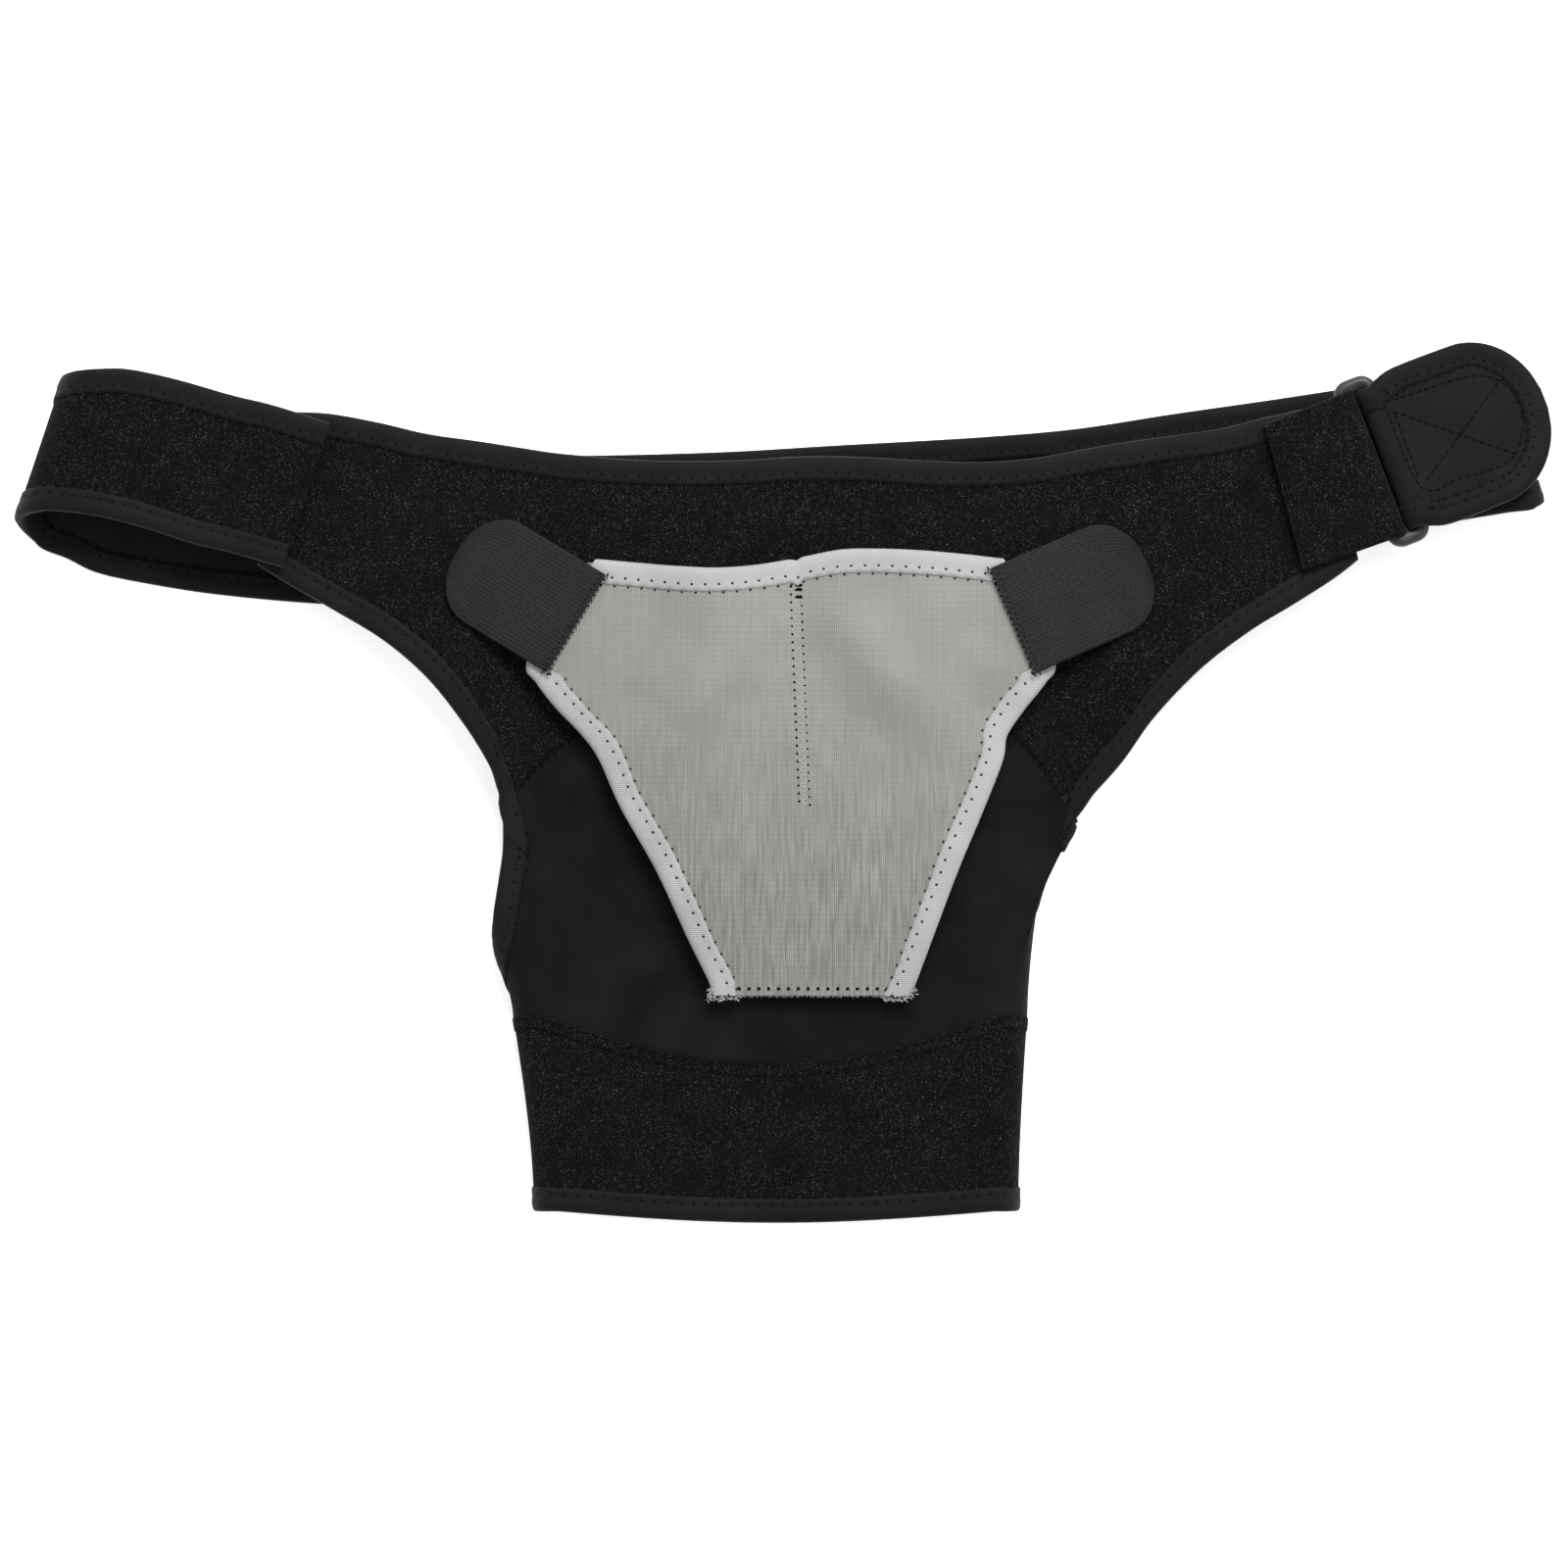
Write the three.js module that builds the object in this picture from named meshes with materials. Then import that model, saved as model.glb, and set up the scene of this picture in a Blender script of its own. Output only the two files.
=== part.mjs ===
// Neoprene shoulder brace, lying flat with its front up. Millimetres, +Z up.
// A loop-faced yoke crosses the shoulder, a smooth sleeve and a loop-faced cuff hold the upper arm,
// a long strap goes round the chest and back through a ring, and a grey pad is hooked on in front.
import * as THREE from 'three';

// Plan of the whole brace
const reach = 548; // from the strap's left bend to the tab's round end
const drop = 313; // from the tab's top edge to the cuff's hem

// Fabrics
const neoprene = 3; // wall of the yoke, sleeve and cuff
const strapThickness = 2.6;
const ringLoopThickness = 2.4;
const padThickness = 3.5;
const hookTape = 1.5;
const bindingTape = 0.9; // edge tape, folded over every bound edge
const bindingWidth = 7.6; // how far the tape reaches in from the edge
const clearance = 0.4; // between pieces that lie on each other
const seamGap = 0.5; // between pieces sewn edge to edge

// Layers
const frontHeight = 16; // middle of the yoke's wall above the surface that the brace lies on
const sleeveBend = 7.5; // radius of the sleeve's side folds
const crown = 5; // how far the sleeve's front stands above its side folds
const dome = 4; // extra fullness of the smooth cap

// Chest strap, ring and tab
const strapWidth = 57;
const leftBend = 11; // radius where the strap turns back under itself
const leftAdvance = 14; // how far the strap slides along that turn
const rightBend = 4.4;
const rightAdvance = 2;
const ringBar = 2.25; // radius of the ring's round bar
const ringSlot = 7; // inner width of the ring
const ringCorner = 3.5; // radius of the ring's corners, at the bar's middle
const foldClearance = 0.7; // between the bar and the fabric folded round it
const tabLength = 61; // from the ring's middle to the tab's tip
const tabWidth = 59.5;
const tabRound = 26; // length of the tab's rounded end

// Pad and its hook tabs
const padRise = 6; // how far the pad bows off the yoke
const tapeWidth = 39.5;
const leftTapeLength = 50;
const rightTapeLength = 52.5;
const tapeRound = 15; // length of a hook tab's rounded end
const tapeOverlap = 8; // how far a hook tab lies on the pad

// Worked out from these
const overhang = clearance + bindingTape; // how far the tape stands out past the edge it binds
const boundNeoprene = neoprene / 2 + overhang;
const boundStrap = strapThickness / 2 + overhang;
const sleeveFloor = boundNeoprene; // middle of the sleeve's back wall
const strapFloor = boundStrap;
const legOffset = boundNeoprene + clearance + ringLoopThickness / 2;
const loopFold = ringBar + foldClearance + ringLoopThickness / 2;
const strapFold = ringBar + foldClearance + strapThickness / 2;
const returnHeight = strapFloor + 2 * rightBend;

// Yoke sections from left to right, measured over the bindings.
// x is a share of reach from the middle, y a share of drop from the middle, z a share of frontHeight.
const leftWing = [
  { topX: -0.324, topY: 0.424, topZ: 1.06, lowX: -0.343, lowY: 0.25, lowZ: 1.06 },
  { topX: -0.296, topY: 0.422, topZ: 1.05, lowX: -0.321, lowY: 0.226, lowZ: 1.05 },
  { topX: -0.264, topY: 0.412, topZ: 1.03, lowX: -0.292, lowY: 0.197, lowZ: 1.04 },
  { topX: -0.232, topY: 0.399, topZ: 1.02, lowX: -0.26, lowY: 0.163, lowZ: 1.03 },
  { topX: -0.2, topY: 0.391, topZ: 1.01, lowX: -0.232, lowY: 0.121, lowZ: 1.02 },
  { topX: -0.174, topY: 0.384, topZ: 1, lowX: -0.209, lowY: 0.071, lowZ: 1 },
  { topX: -0.152, topY: 0.378, topZ: 1, lowX: -0.192, lowY: 0.023, lowZ: 0.97 },
];
const bridge = [
  { topX: -0.136, topY: 0.375, topZ: 1, lowX: -0.181, lowY: -0.02, lowZ: 0.95 },
  { topX: -0.117, topY: 0.372, topZ: 1, lowX: -0.159, lowY: 0.02, lowZ: 1.01 },
  { topX: -0.094, topY: 0.369, topZ: 1, lowX: -0.129, lowY: 0.062, lowZ: 1.07 },
  { topX: -0.065, topY: 0.368, topZ: 1, lowX: -0.088, lowY: 0.103, lowZ: 1.12 },
  { topX: -0.027, topY: 0.369, topZ: 1, lowX: -0.04, lowY: 0.132, lowZ: 1.15 },
  { topX: 0.008, topY: 0.373, topZ: 1, lowX: 0.008, lowY: 0.144, lowZ: 1.16 },
  { topX: 0.046, topY: 0.373, topZ: 1, lowX: 0.056, lowY: 0.132, lowZ: 1.15 },
  { topX: 0.085, topY: 0.369, topZ: 0.99, lowX: 0.106, lowY: 0.103, lowZ: 1.12 },
  { topX: 0.117, topY: 0.367, topZ: 0.98, lowX: 0.145, lowY: 0.059, lowZ: 1.07 },
  { topX: 0.142, topY: 0.368, topZ: 0.98, lowX: 0.168, lowY: 0.016, lowZ: 1.01 },
  { topX: 0.165, topY: 0.372, topZ: 0.97, lowX: 0.187, lowY: -0.037, lowZ: 0.8 },
];
const rightWing = [
  { topX: 0.187, topY: 0.379, topZ: 0.96, lowX: 0.203, lowY: -0.008, lowZ: 0.84 },
  { topX: 0.209, topY: 0.386, topZ: 0.95, lowX: 0.221, lowY: 0.028, lowZ: 0.96 },
  { topX: 0.235, topY: 0.393, topZ: 0.94, lowX: 0.241, lowY: 0.077, lowZ: 0.95 },
  { topX: 0.26, topY: 0.399, topZ: 0.92, lowX: 0.27, lowY: 0.13, lowZ: 0.93 },
  { topX: 0.286, topY: 0.406, topZ: 0.9, lowX: 0.302, lowY: 0.173, lowZ: 0.91 },
  { topX: 0.311, topY: 0.417, topZ: 0.89, lowX: 0.331, lowY: 0.204, lowZ: 0.89 },
  { topX: 0.334, topY: 0.426, topZ: 0.88, lowX: 0.357, lowY: 0.233, lowZ: 0.88 },
  { topX: 0.348, topY: 0.431, topZ: 0.88, lowX: 0.374, lowY: 0.256, lowZ: 0.88 },
];

// The armhole's edge from the yoke's right corner, behind the sleeve, to the yoke's left corner.
// z is a share of frontHeight, counted up from the sleeve's back wall.
const armholeRight = [
  { x: 0.18, y: -0.053, z: 0.5 },
  { x: 0.174, y: -0.065, z: 0.24 },
  { x: 0.166, y: -0.078, z: 0.06 },
  { x: 0.154, y: -0.087, z: 0 },
];
const armholeBack = [
  { x: 0.139, y: -0.098, z: 0 },
  { x: 0.088, y: -0.128, z: 0 },
  { x: 0.024, y: -0.161, z: 0 },
  { x: -0.04, y: -0.195, z: 0 },
  { x: -0.104, y: -0.22, z: 0 },
  { x: -0.163, y: -0.226, z: 0 },
];
const armholeLeft = [
  { x: -0.181, y: -0.207, z: 0.3 },
  { x: -0.187, y: -0.176, z: 0.6 },
  { x: -0.186, y: -0.137, z: 0.8 },
  { x: -0.181, y: -0.078, z: 0.8 },
];

// Rings of the arm cuff: sides and back as shares of reach and drop, sag of the front as a share of drop
const seamRing = { left: -0.174, right: 0.156, sideY: -0.263, sag: 0.054, backY: -0.268 };
const hemRing = { left: -0.16, right: 0.15, sideY: -0.487, sag: 0.012, backY: -0.489 };

// Middle of the chest strap. lean tilts the strap's cross line clockwise in plan, in degrees;
// width is a share of strapWidth.
const strapFront = [
  { x: -0.31, y: 0.328, lean: 18, width: 0.95, lift: 0.02 },
  { x: -0.346, y: 0.347, lean: 17, width: 0.96, lift: 0.12 },
  { x: -0.372, y: 0.358, lean: 15.5, width: 0.96, lift: 0.38 },
  { x: -0.406, y: 0.376, lean: 13, width: 0.95, lift: 0.75 },
  { x: -0.436, y: 0.388, lean: 13, width: 0.94, lift: 0.95 },
];
const strapBack = [
  { x: -0.455, y: 0.34, lean: 16, width: 0.94 },
  { x: -0.438, y: 0.326, lean: 13, width: 0.95 },
  { x: -0.41, y: 0.316, lean: 10, width: 0.96 },
  { x: -0.367, y: 0.304, lean: 6, width: 0.96 },
  { x: -0.306, y: 0.294, lean: 3, width: 0.96 },
  { x: -0.244, y: 0.29, lean: 1, width: 0.96 },
  { x: -0.18, y: 0.289, lean: -1, width: 0.96 },
  { x: -0.117, y: 0.288, lean: -2, width: 0.97 },
  { x: -0.037, y: 0.291, lean: -3, width: 0.98 },
  { x: 0.041, y: 0.299, lean: -5, width: 0.98 },
  { x: 0.131, y: 0.308, lean: -6, width: 0.98 },
  { x: 0.197, y: 0.319, lean: -8, width: 0.97 },
  { x: 0.261, y: 0.337, lean: -8, width: 0.96 },
  { x: 0.325, y: 0.354, lean: -8, width: 0.95 },
  { x: 0.385, y: 0.371, lean: -10, width: 0.94 },
  { x: 0.438, y: 0.387, lean: -13, width: 0.93 },
];
const leftTurn = { x: -0.46, y: 0.391, lean: 18.5, width: 0.935 };
const rightTurn = { x: 0.472, y: 0.4, lean: -16, width: 0.93 };
const strapReturn = [
  { x: 0.459, y: 0.391, lean: -16.5, width: 0.93 },
  { x: 0.44, y: 0.3855, lean: -17, width: 0.93 },
  { x: 0.421, y: 0.38, lean: -18, width: 0.93 },
];
const ringPlace = { x: 0.389, y: 0.368, lean: -21, width: 0.93 };
const loopSeam = { x: 0.325, y: 0.326, lean: -15, width: 0.91 };

// Pad sections from the top edge down: sides as shares of reach, height as a share of drop,
// rise as a share of padRise.
const padSections = [
  { left: -0.128, right: 0.148, y: 0.252, rise: 0.35 },
  { left: -0.147, right: 0.162, y: 0.198, rise: 0.45 },
  { left: -0.167, right: 0.176, y: 0.139, rise: 0.5 },
  { left: -0.161, right: 0.17, y: 0.116, rise: 0.55 },
  { left: -0.147, right: 0.156, y: 0.085, rise: 0.62 },
  { left: -0.131, right: 0.145, y: 0.056, rise: 0.7 },
  { left: -0.12, right: 0.142, y: 0.028, rise: 0.78 },
  { left: -0.106, right: 0.13, y: -0.026, rise: 0.82 },
  { left: -0.083, right: 0.113, y: -0.097, rise: 0.7 },
  { left: -0.062, right: 0.096, y: -0.176, rise: 0.38 },
  { left: -0.049, right: 0.086, y: -0.223, rise: 0.1 },
  { left: -0.047, right: 0.082, y: -0.239, rise: 0 },
];
// The pad's wavy top edge, from left to right: shift in the plan as a share of drop, and extra rise
const padWave = [
  { shift: 0, rise: 0 },
  { shift: -0.004, rise: 0 },
  { shift: -0.008, rise: 0.1 },
  { shift: -0.01, rise: 0.15 },
  { shift: -0.007, rise: 0.05 },
  { shift: 0.001, rise: 0.2 },
  { shift: 0.01, rise: 0.55 },
  { shift: 0.011, rise: 0.6 },
  { shift: 0.009, rise: 0.4 },
  { shift: 0.005, rise: 0.1 },
  { shift: 0, rise: 0 },
];
const waveDepth = 0.75; // the wave dies out over this much of the pad's length

const loopPile = new THREE.MeshStandardMaterial({ color: 0x161616, roughness: 0.95 });
const smoothJersey = new THREE.MeshStandardMaterial({ color: 0x1d1d1c, roughness: 0.8 });
const edgeTape = new THREE.MeshStandardMaterial({ color: 0x30302e, roughness: 0.7 });
const greyJersey = new THREE.MeshStandardMaterial({ color: 0xa09e98, roughness: 0.8 });
const paleTape = new THREE.MeshStandardMaterial({ color: 0xc8cbc8, roughness: 0.6 });
const hookFabric = new THREE.MeshStandardMaterial({ color: 0x3a3a38, roughness: 0.85 });
const blackPlastic = new THREE.MeshStandardMaterial({ color: 0x202020, roughness: 0.35 });

const brace = new THREE.Group();

function addMesh(name, geometry, material) {
  const mesh = new THREE.Mesh(geometry, material);
  mesh.name = name;
  brace.add(mesh);
  return mesh;
}

function plan(share, z = 0) {
  return new THREE.Vector3(share.x * reach, share.y * drop, z);
}

function towards(from, to, distance) {
  return to.clone().sub(from).normalize().multiplyScalar(distance).add(from);
}

// Direction of a cross line in plan, from its lower to its upper end
function crossLine(lean) {
  const angle = THREE.MathUtils.degToRad(lean);
  return new THREE.Vector3(Math.sin(angle), Math.cos(angle), 0);
}

// Closed solid through sections, each with an outer and an inner rail of as many points.
// A twisted quad folds along its higher diagonal, seen from the side that it faces,
// so that layers over each other fold alike. A section has the way it faces between each two
// points of its rails, and at their ends.
function loft(sections, closed = false) {
  const rail = sections[0].outer.length;
  const ring = 2 * rail;
  const positions = sections.flatMap(({ outer, inner }) => [...outer, ...[...inner].reverse()]);
  const faces = [];
  const quad = (a, b, c, d, facing) => {
    const level = (index) => positions[index].dot(facing);
    const higher = level(a) + level(c) > level(b) + level(d);
    if (higher) faces.push([a, b, c], [a, c, d]);
    else faces.push([a, b, d], [b, c, d]);
  };
  const spans = closed ? sections.length : sections.length - 1;
  for (let i = 0; i < spans; i++) {
    const after = (i + 1) % sections.length;
    const here = i * ring;
    const next = after * ring;
    for (let q = 0; q < ring; q++) {
      const r = (q + 1) % ring;
      const place = Math.min(q, ring - 2 - q);
      const facing = (section) => (r % rail === 0 ? section.ends : section.facings[place]);
      const sum = facing(sections[i]).clone().add(facing(sections[after]));
      quad(here + q, here + r, next + r, next + q, sum);
    }
  }
  if (!closed) {
    const last = (sections.length - 1) * ring;
    for (let q = 0; q < rail - 1; q++) {
      quad(q, ring - 1 - q, ring - 2 - q, q + 1, sections[0].facings[q]);
      quad(last + q, last + q + 1, last + ring - 2 - q, last + ring - 1 - q, sections.at(-1).facings[q]);
    }
  }
  if (signedVolume(positions, faces) < 0) faces.forEach((face) => face.reverse());
  const geometry = new THREE.BufferGeometry().setFromPoints(positions);
  geometry.setIndex(faces.flat());
  geometry.computeVertexNormals();
  return geometry;
}

function signedVolume(points, faces) {
  const cross = new THREE.Vector3();
  return faces.reduce((sum, [a, b, c]) => {
    cross.crossVectors(points[b], points[c]);
    return sum + points[a].dot(cross) / 6;
  }, 0);
}

// Unit normals of a grid of points; the grid's first index may run round a closed ring
function gridNormals(grid, closed) {
  const count = grid.length;
  return grid.map((line, i) => {
    const before = grid[closed ? (i + count - 1) % count : Math.max(i - 1, 0)];
    const after = grid[closed ? (i + 1) % count : Math.min(i + 1, count - 1)];
    return line.map((_, j) => {
      const along = after[j].clone().sub(before[j]);
      const across = line[Math.min(j + 1, line.length - 1)].clone().sub(line[Math.max(j - 1, 0)]);
      return along.cross(across).normalize();
    });
  });
}

// Wall of even thickness on both sides of a grid of points
function fabric(grid, thickness, closed = false) {
  const normals = gridNormals(grid, closed);
  const offset = (i, side) =>
    grid[i].map((point, j) => point.clone().addScaledVector(normals[i][j], (side * thickness) / 2));
  const sections = grid.map((line, i) => ({
    outer: offset(i, 1),
    inner: offset(i, -1),
    facings: normals[i].slice(1).map((normal, j) => normal.clone().add(normals[i][j])),
    ends: line.at(-1).clone().sub(line[0]).normalize(),
  }));
  return { geometry: loft(sections, closed), grid, normals };
}

// Tape folded over an edge. Each station has the edge point, a point further in, and the wall's normals there
function foldedTape(stations, thickness, closed = false) {
  const near = thickness / 2 + clearance;
  const far = near + bindingTape;
  const edges = stations.map((station) => station.edge);
  const sections = stations.map(({ edge, inside, normal, insideNormal = normal }, i) => {
    const out = edge.clone().sub(inside);
    const square = slant(edges, i, out, closed);
    const depth = out.length() * square;
    const reachIn = depth < 1.5 * bindingWidth ? -depth : -bindingWidth;
    const facing = normal.clone().add(insideNormal);
    const at = (u, v) => {
      const across = normal.clone().lerp(insideNormal, Math.max(0, -u / depth));
      return edge.clone().addScaledVector(out, u / depth).addScaledVector(across, v);
    };
    return {
      outer: [at(reachIn, far), at(overhang, far), at(overhang, -far), at(reachIn, -far)],
      inner: [at(reachIn, near), at(clearance, near), at(clearance, -near), at(reachIn, -near)],
      facings: [facing, out, facing],
      ends: out,
    };
  });
  return loft(sections, closed);
}

// Stations along the first or last line of points of a wall
function edgeStations(wall, lastEdge, from = 0, to = wall.grid.length - 1) {
  const stations = [];
  for (let i = from; i <= to; i++) {
    const line = wall.grid[i % wall.grid.length];
    const normals = wall.normals[i % wall.grid.length];
    const edge = lastEdge ? line.length - 1 : 0;
    const inside = lastEdge ? edge - 1 : 1;
    stations.push({
      edge: line[edge],
      inside: line[inside],
      normal: normals[edge],
      insideNormal: normals[inside],
    });
  }
  return stations;
}

// Height of the highest face under a point, sampled a little to each side so that a seam's gap is bridged
function heightAt(x, y, meshes, spread = 2) {
  const down = new THREE.Vector3(0, 0, -1);
  const heights = [-spread, 0, spread].flatMap((shift) => {
    const ray = new THREE.Raycaster(new THREE.Vector3(x + shift, y + shift / 2, 10 * frontHeight), down);
    return ray.intersectObjects(meshes).map((hit) => hit.point.z);
  });
  return Math.max(0, ...heights);
}

// Yoke: three stretches of cross sections that share the two corners where the sleeve's seam begins
const yokeSections = [...leftWing, ...bridge, ...rightWing];
const leftCorner = leftWing.length;
const rightCorner = leftCorner + bridge.length - 1;
const yokeAcross = 3;

function yokeLine(section, i) {
  const top = plan({ x: section.topX, y: section.topY }, section.topZ * frontHeight);
  const low = plan({ x: section.lowX, y: section.lowY }, section.lowZ * frontHeight);
  const seam = i > leftCorner && i < rightCorner;
  const start = towards(top, low, overhang);
  const end = towards(low, top, seam ? seamGap / 2 : overhang);
  return Array.from({ length: yokeAcross + 1 }, (_, j) => start.clone().lerp(end, j / yokeAcross));
}

function buildYoke() {
  const wall = fabric(yokeSections.map(yokeLine), neoprene);
  const last = yokeSections.length - 1;
  const tape = (lastEdge, from, to) => foldedTape(edgeStations(wall, lastEdge, from, to), neoprene);
  const mesh = addMesh('yoke', wall.geometry, loopPile);
  addMesh('yoke_binding_top', tape(false, 0, last), edgeTape);
  addMesh('yoke_binding_left', tape(true, 0, leftCorner), edgeTape);
  addMesh('yoke_binding_right', tape(true, rightCorner, last), edgeTape);
  return mesh;
}

// Arm cuff and sleeve: rings that run along the front, round the right fold, the back and the left fold
const frontCells = bridge.length - 1;
const rimDensity = 2; // columns of the wall for each row of the armhole's tables
const rightCells = rimDensity * armholeRight.length;
const backCells = rimDensity * armholeBack.length;
const leftCells = rimDensity * (armholeLeft.length + 1);
const foldCells = leftCells / 2; // the rest of the left columns start on the cuff's front
const cornerShare = 0.4; // how far along that front the yoke's left corner is reached from

function flatRing({ left, right, sideY, sag, backY }, lift = 0) {
  const points = [];
  const low = left * reach + sleeveBend;
  const high = right * reach - sleeveBend;
  const middle = sleeveFloor + sleeveBend;
  const side = sideY * drop + lift;
  const back = backY * drop + lift;
  const frontPoint = (s) => {
    const arch = Math.sin(Math.PI * s);
    const x = THREE.MathUtils.lerp(low, high, s);
    return new THREE.Vector3(x, side - sag * drop * arch, middle + sleeveBend + crown * arch);
  };
  for (let i = 0; i <= frontCells; i++) {
    points.push(frontPoint(THREE.MathUtils.lerp(cornerShare, 1, i / frontCells)));
  }
  for (let i = 1; i <= rightCells; i++) {
    const angle = Math.PI * (0.5 - i / rightCells);
    const y = THREE.MathUtils.lerp(back, side, (1 + Math.sin(angle)) / 2);
    const x = high + sleeveBend * Math.cos(angle);
    points.push(new THREE.Vector3(x, y, middle + sleeveBend * Math.sin(angle)));
  }
  for (let i = 1; i <= backCells; i++) {
    points.push(new THREE.Vector3(THREE.MathUtils.lerp(high, low, i / backCells), back, sleeveFloor));
  }
  for (let i = 1; i <= foldCells; i++) {
    const angle = Math.PI * (1.5 - i / foldCells);
    const y = THREE.MathUtils.lerp(back, side, (1 + Math.sin(angle)) / 2);
    const x = low + sleeveBend * Math.cos(angle);
    points.push(new THREE.Vector3(x, y, middle + sleeveBend * Math.sin(angle)));
  }
  const frontLeft = leftCells - foldCells;
  for (let i = 1; i < frontLeft; i++) points.push(frontPoint((cornerShare * i) / frontLeft));
  return points;
}

function armholeRing() {
  const front = bridge.map(({ lowX, lowY, lowZ }, i) => {
    const corner = i === 0 || i === frontCells;
    const gap = corner ? overhang / steepestSlant + clearance : seamGap / 2;
    return plan({ x: lowX, y: lowY }, lowZ * frontHeight).add(new THREE.Vector3(0, -gap, 0));
  });
  const rows = [...armholeRight, ...armholeBack, ...armholeLeft];
  const rim = rows.map((row) => plan(row, sleeveFloor + row.z * frontHeight));
  const curve = new THREE.CatmullRomCurve3([front.at(-1), ...rim, front[0]], false, 'centripetal');
  const hidden = curve.getPoints(rimDensity * (rim.length + 1)).slice(1, -1);
  hidden.forEach((point) => point.setZ(Math.max(point.z, sleeveFloor)));
  return [...front, ...hidden];
}

// Sine of the angle between an edge and the line that comes in to it, never less than the steepest slant
const steepestSlant = 0.75;
function slant(edges, i, out, closed) {
  const count = edges.length;
  const before = edges[closed ? (i + count - 1) % count : Math.max(i - 1, 0)];
  const after = edges[closed ? (i + 1) % count : Math.min(i + 1, count - 1)];
  return Math.max(Math.sin(after.clone().sub(before).angleTo(out)), steepestSlant);
}

// The last row of cells is as deep as the tape that covers it
function ringWall(from, to, steps, bulge) {
  const grid = from.map((start, i) => {
    const out = to[i].clone().sub(start);
    const taped = bindingWidth / slant(to, i, out, true) / out.length();
    return Array.from({ length: steps + 1 }, (_, j) => {
      const v = j === steps ? 1 : ((1 - taped) * j) / (steps - 1);
      const point = start.clone().lerp(to[i], v);
      point.x = THREE.MathUtils.lerp(start.x, to[i].x, v ** 1.5);
      if (i < frontCells) point.z += bulge * Math.sin(Math.PI * v) * Math.sin((Math.PI * i) / frontCells);
      return point;
    });
  });
  return fabric(grid, neoprene, true);
}

function buildSleeve() {
  const sleeve = ringWall(flatRing(seamRing, seamGap / 2), armholeRing(), 7, dome);
  const mesh = addMesh('sleeve', sleeve.geometry, smoothJersey);
  const armhole = edgeStations(sleeve, true, frontCells, sleeve.grid.length);
  addMesh('armhole_binding', foldedTape(armhole, neoprene), edgeTape);
  return mesh;
}

function buildCuff() {
  const cuff = ringWall(flatRing(hemRing, overhang), flatRing(seamRing, -seamGap / 2), 4, 0);
  addMesh('arm_cuff', cuff.geometry, loopPile);
  const hem = edgeStations(cuff, false);
  addMesh('cuff_binding', foldedTape(hem, neoprene, true), edgeTape);
}

// Ring: a round bar along a rectangle with rounded corners
const ringHeight = yokeSections.at(-1).topZ * frontHeight;
const ringCentre = plan(ringPlace, ringHeight);
const ringSide = crossLine(ringPlace.lean);
const ringAlong = new THREE.Vector3(ringSide.y, -ringSide.x, 0);
const ringInside = ringPlace.width * strapWidth + 2 * foldClearance;
const barSpacing = ringSlot + 2 * ringBar;

function buildRing() {
  const halfLength = ringInside / 2 + ringBar;
  const corners = [
    [1, 1],
    [-1, 1],
    [-1, -1],
    [1, -1],
  ];
  const sections = corners.flatMap(([sideways, lengthwise], corner) =>
    Array.from({ length: 4 }, (_, k) => {
      const angle = (Math.PI / 2) * (corner + k / 3);
      const across = sideways * (barSpacing / 2 - ringCorner) + ringCorner * Math.cos(angle);
      const along = lengthwise * (halfLength - ringCorner) + ringCorner * Math.sin(angle);
      const centre = ringCentre.clone().addScaledVector(ringAlong, across).addScaledVector(ringSide, along);
      const outward = ringAlong.clone().multiplyScalar(Math.cos(angle));
      outward.addScaledVector(ringSide, Math.sin(angle));
      const around = Array.from({ length: 8 }, (_, q) => {
        const turn = (Math.PI / 4) * (q + 0.5);
        const point = centre.clone().addScaledVector(outward, ringBar * Math.cos(turn));
        point.z += ringBar * Math.sin(turn);
        return point;
      });
      const outer = around.slice(0, 4);
      const inner = around.slice(4).reverse();
      return { outer, inner, facings: Array(3).fill(outward), ends: outward };
    }),
  );
  addMesh('ring', loft(sections, true), blackPlastic);
}

// A straight cross line of a strap, as the grid's line of two points
function strapLine(centre, lean, width, inset) {
  const half = crossLine(lean).multiplyScalar(width / 2 - inset);
  return [centre.clone().add(half), centre.clone().sub(half)];
}

// Centres of a turn about a cross line: start and sweep in degrees, 90 being the top
function turnCentres(axis, lean, radius, start, sweep, steps, advance = 0) {
  const side = crossLine(lean);
  const along = new THREE.Vector3(side.y, -side.x, 0);
  return Array.from({ length: steps + 1 }, (_, i) => {
    const angle = THREE.MathUtils.degToRad(start + (sweep * i) / steps);
    const centre = axis.clone().addScaledVector(side, (-advance * i) / steps);
    centre.addScaledVector(along, radius * Math.cos(angle));
    centre.z += radius * Math.sin(angle);
    return centre;
  });
}

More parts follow.
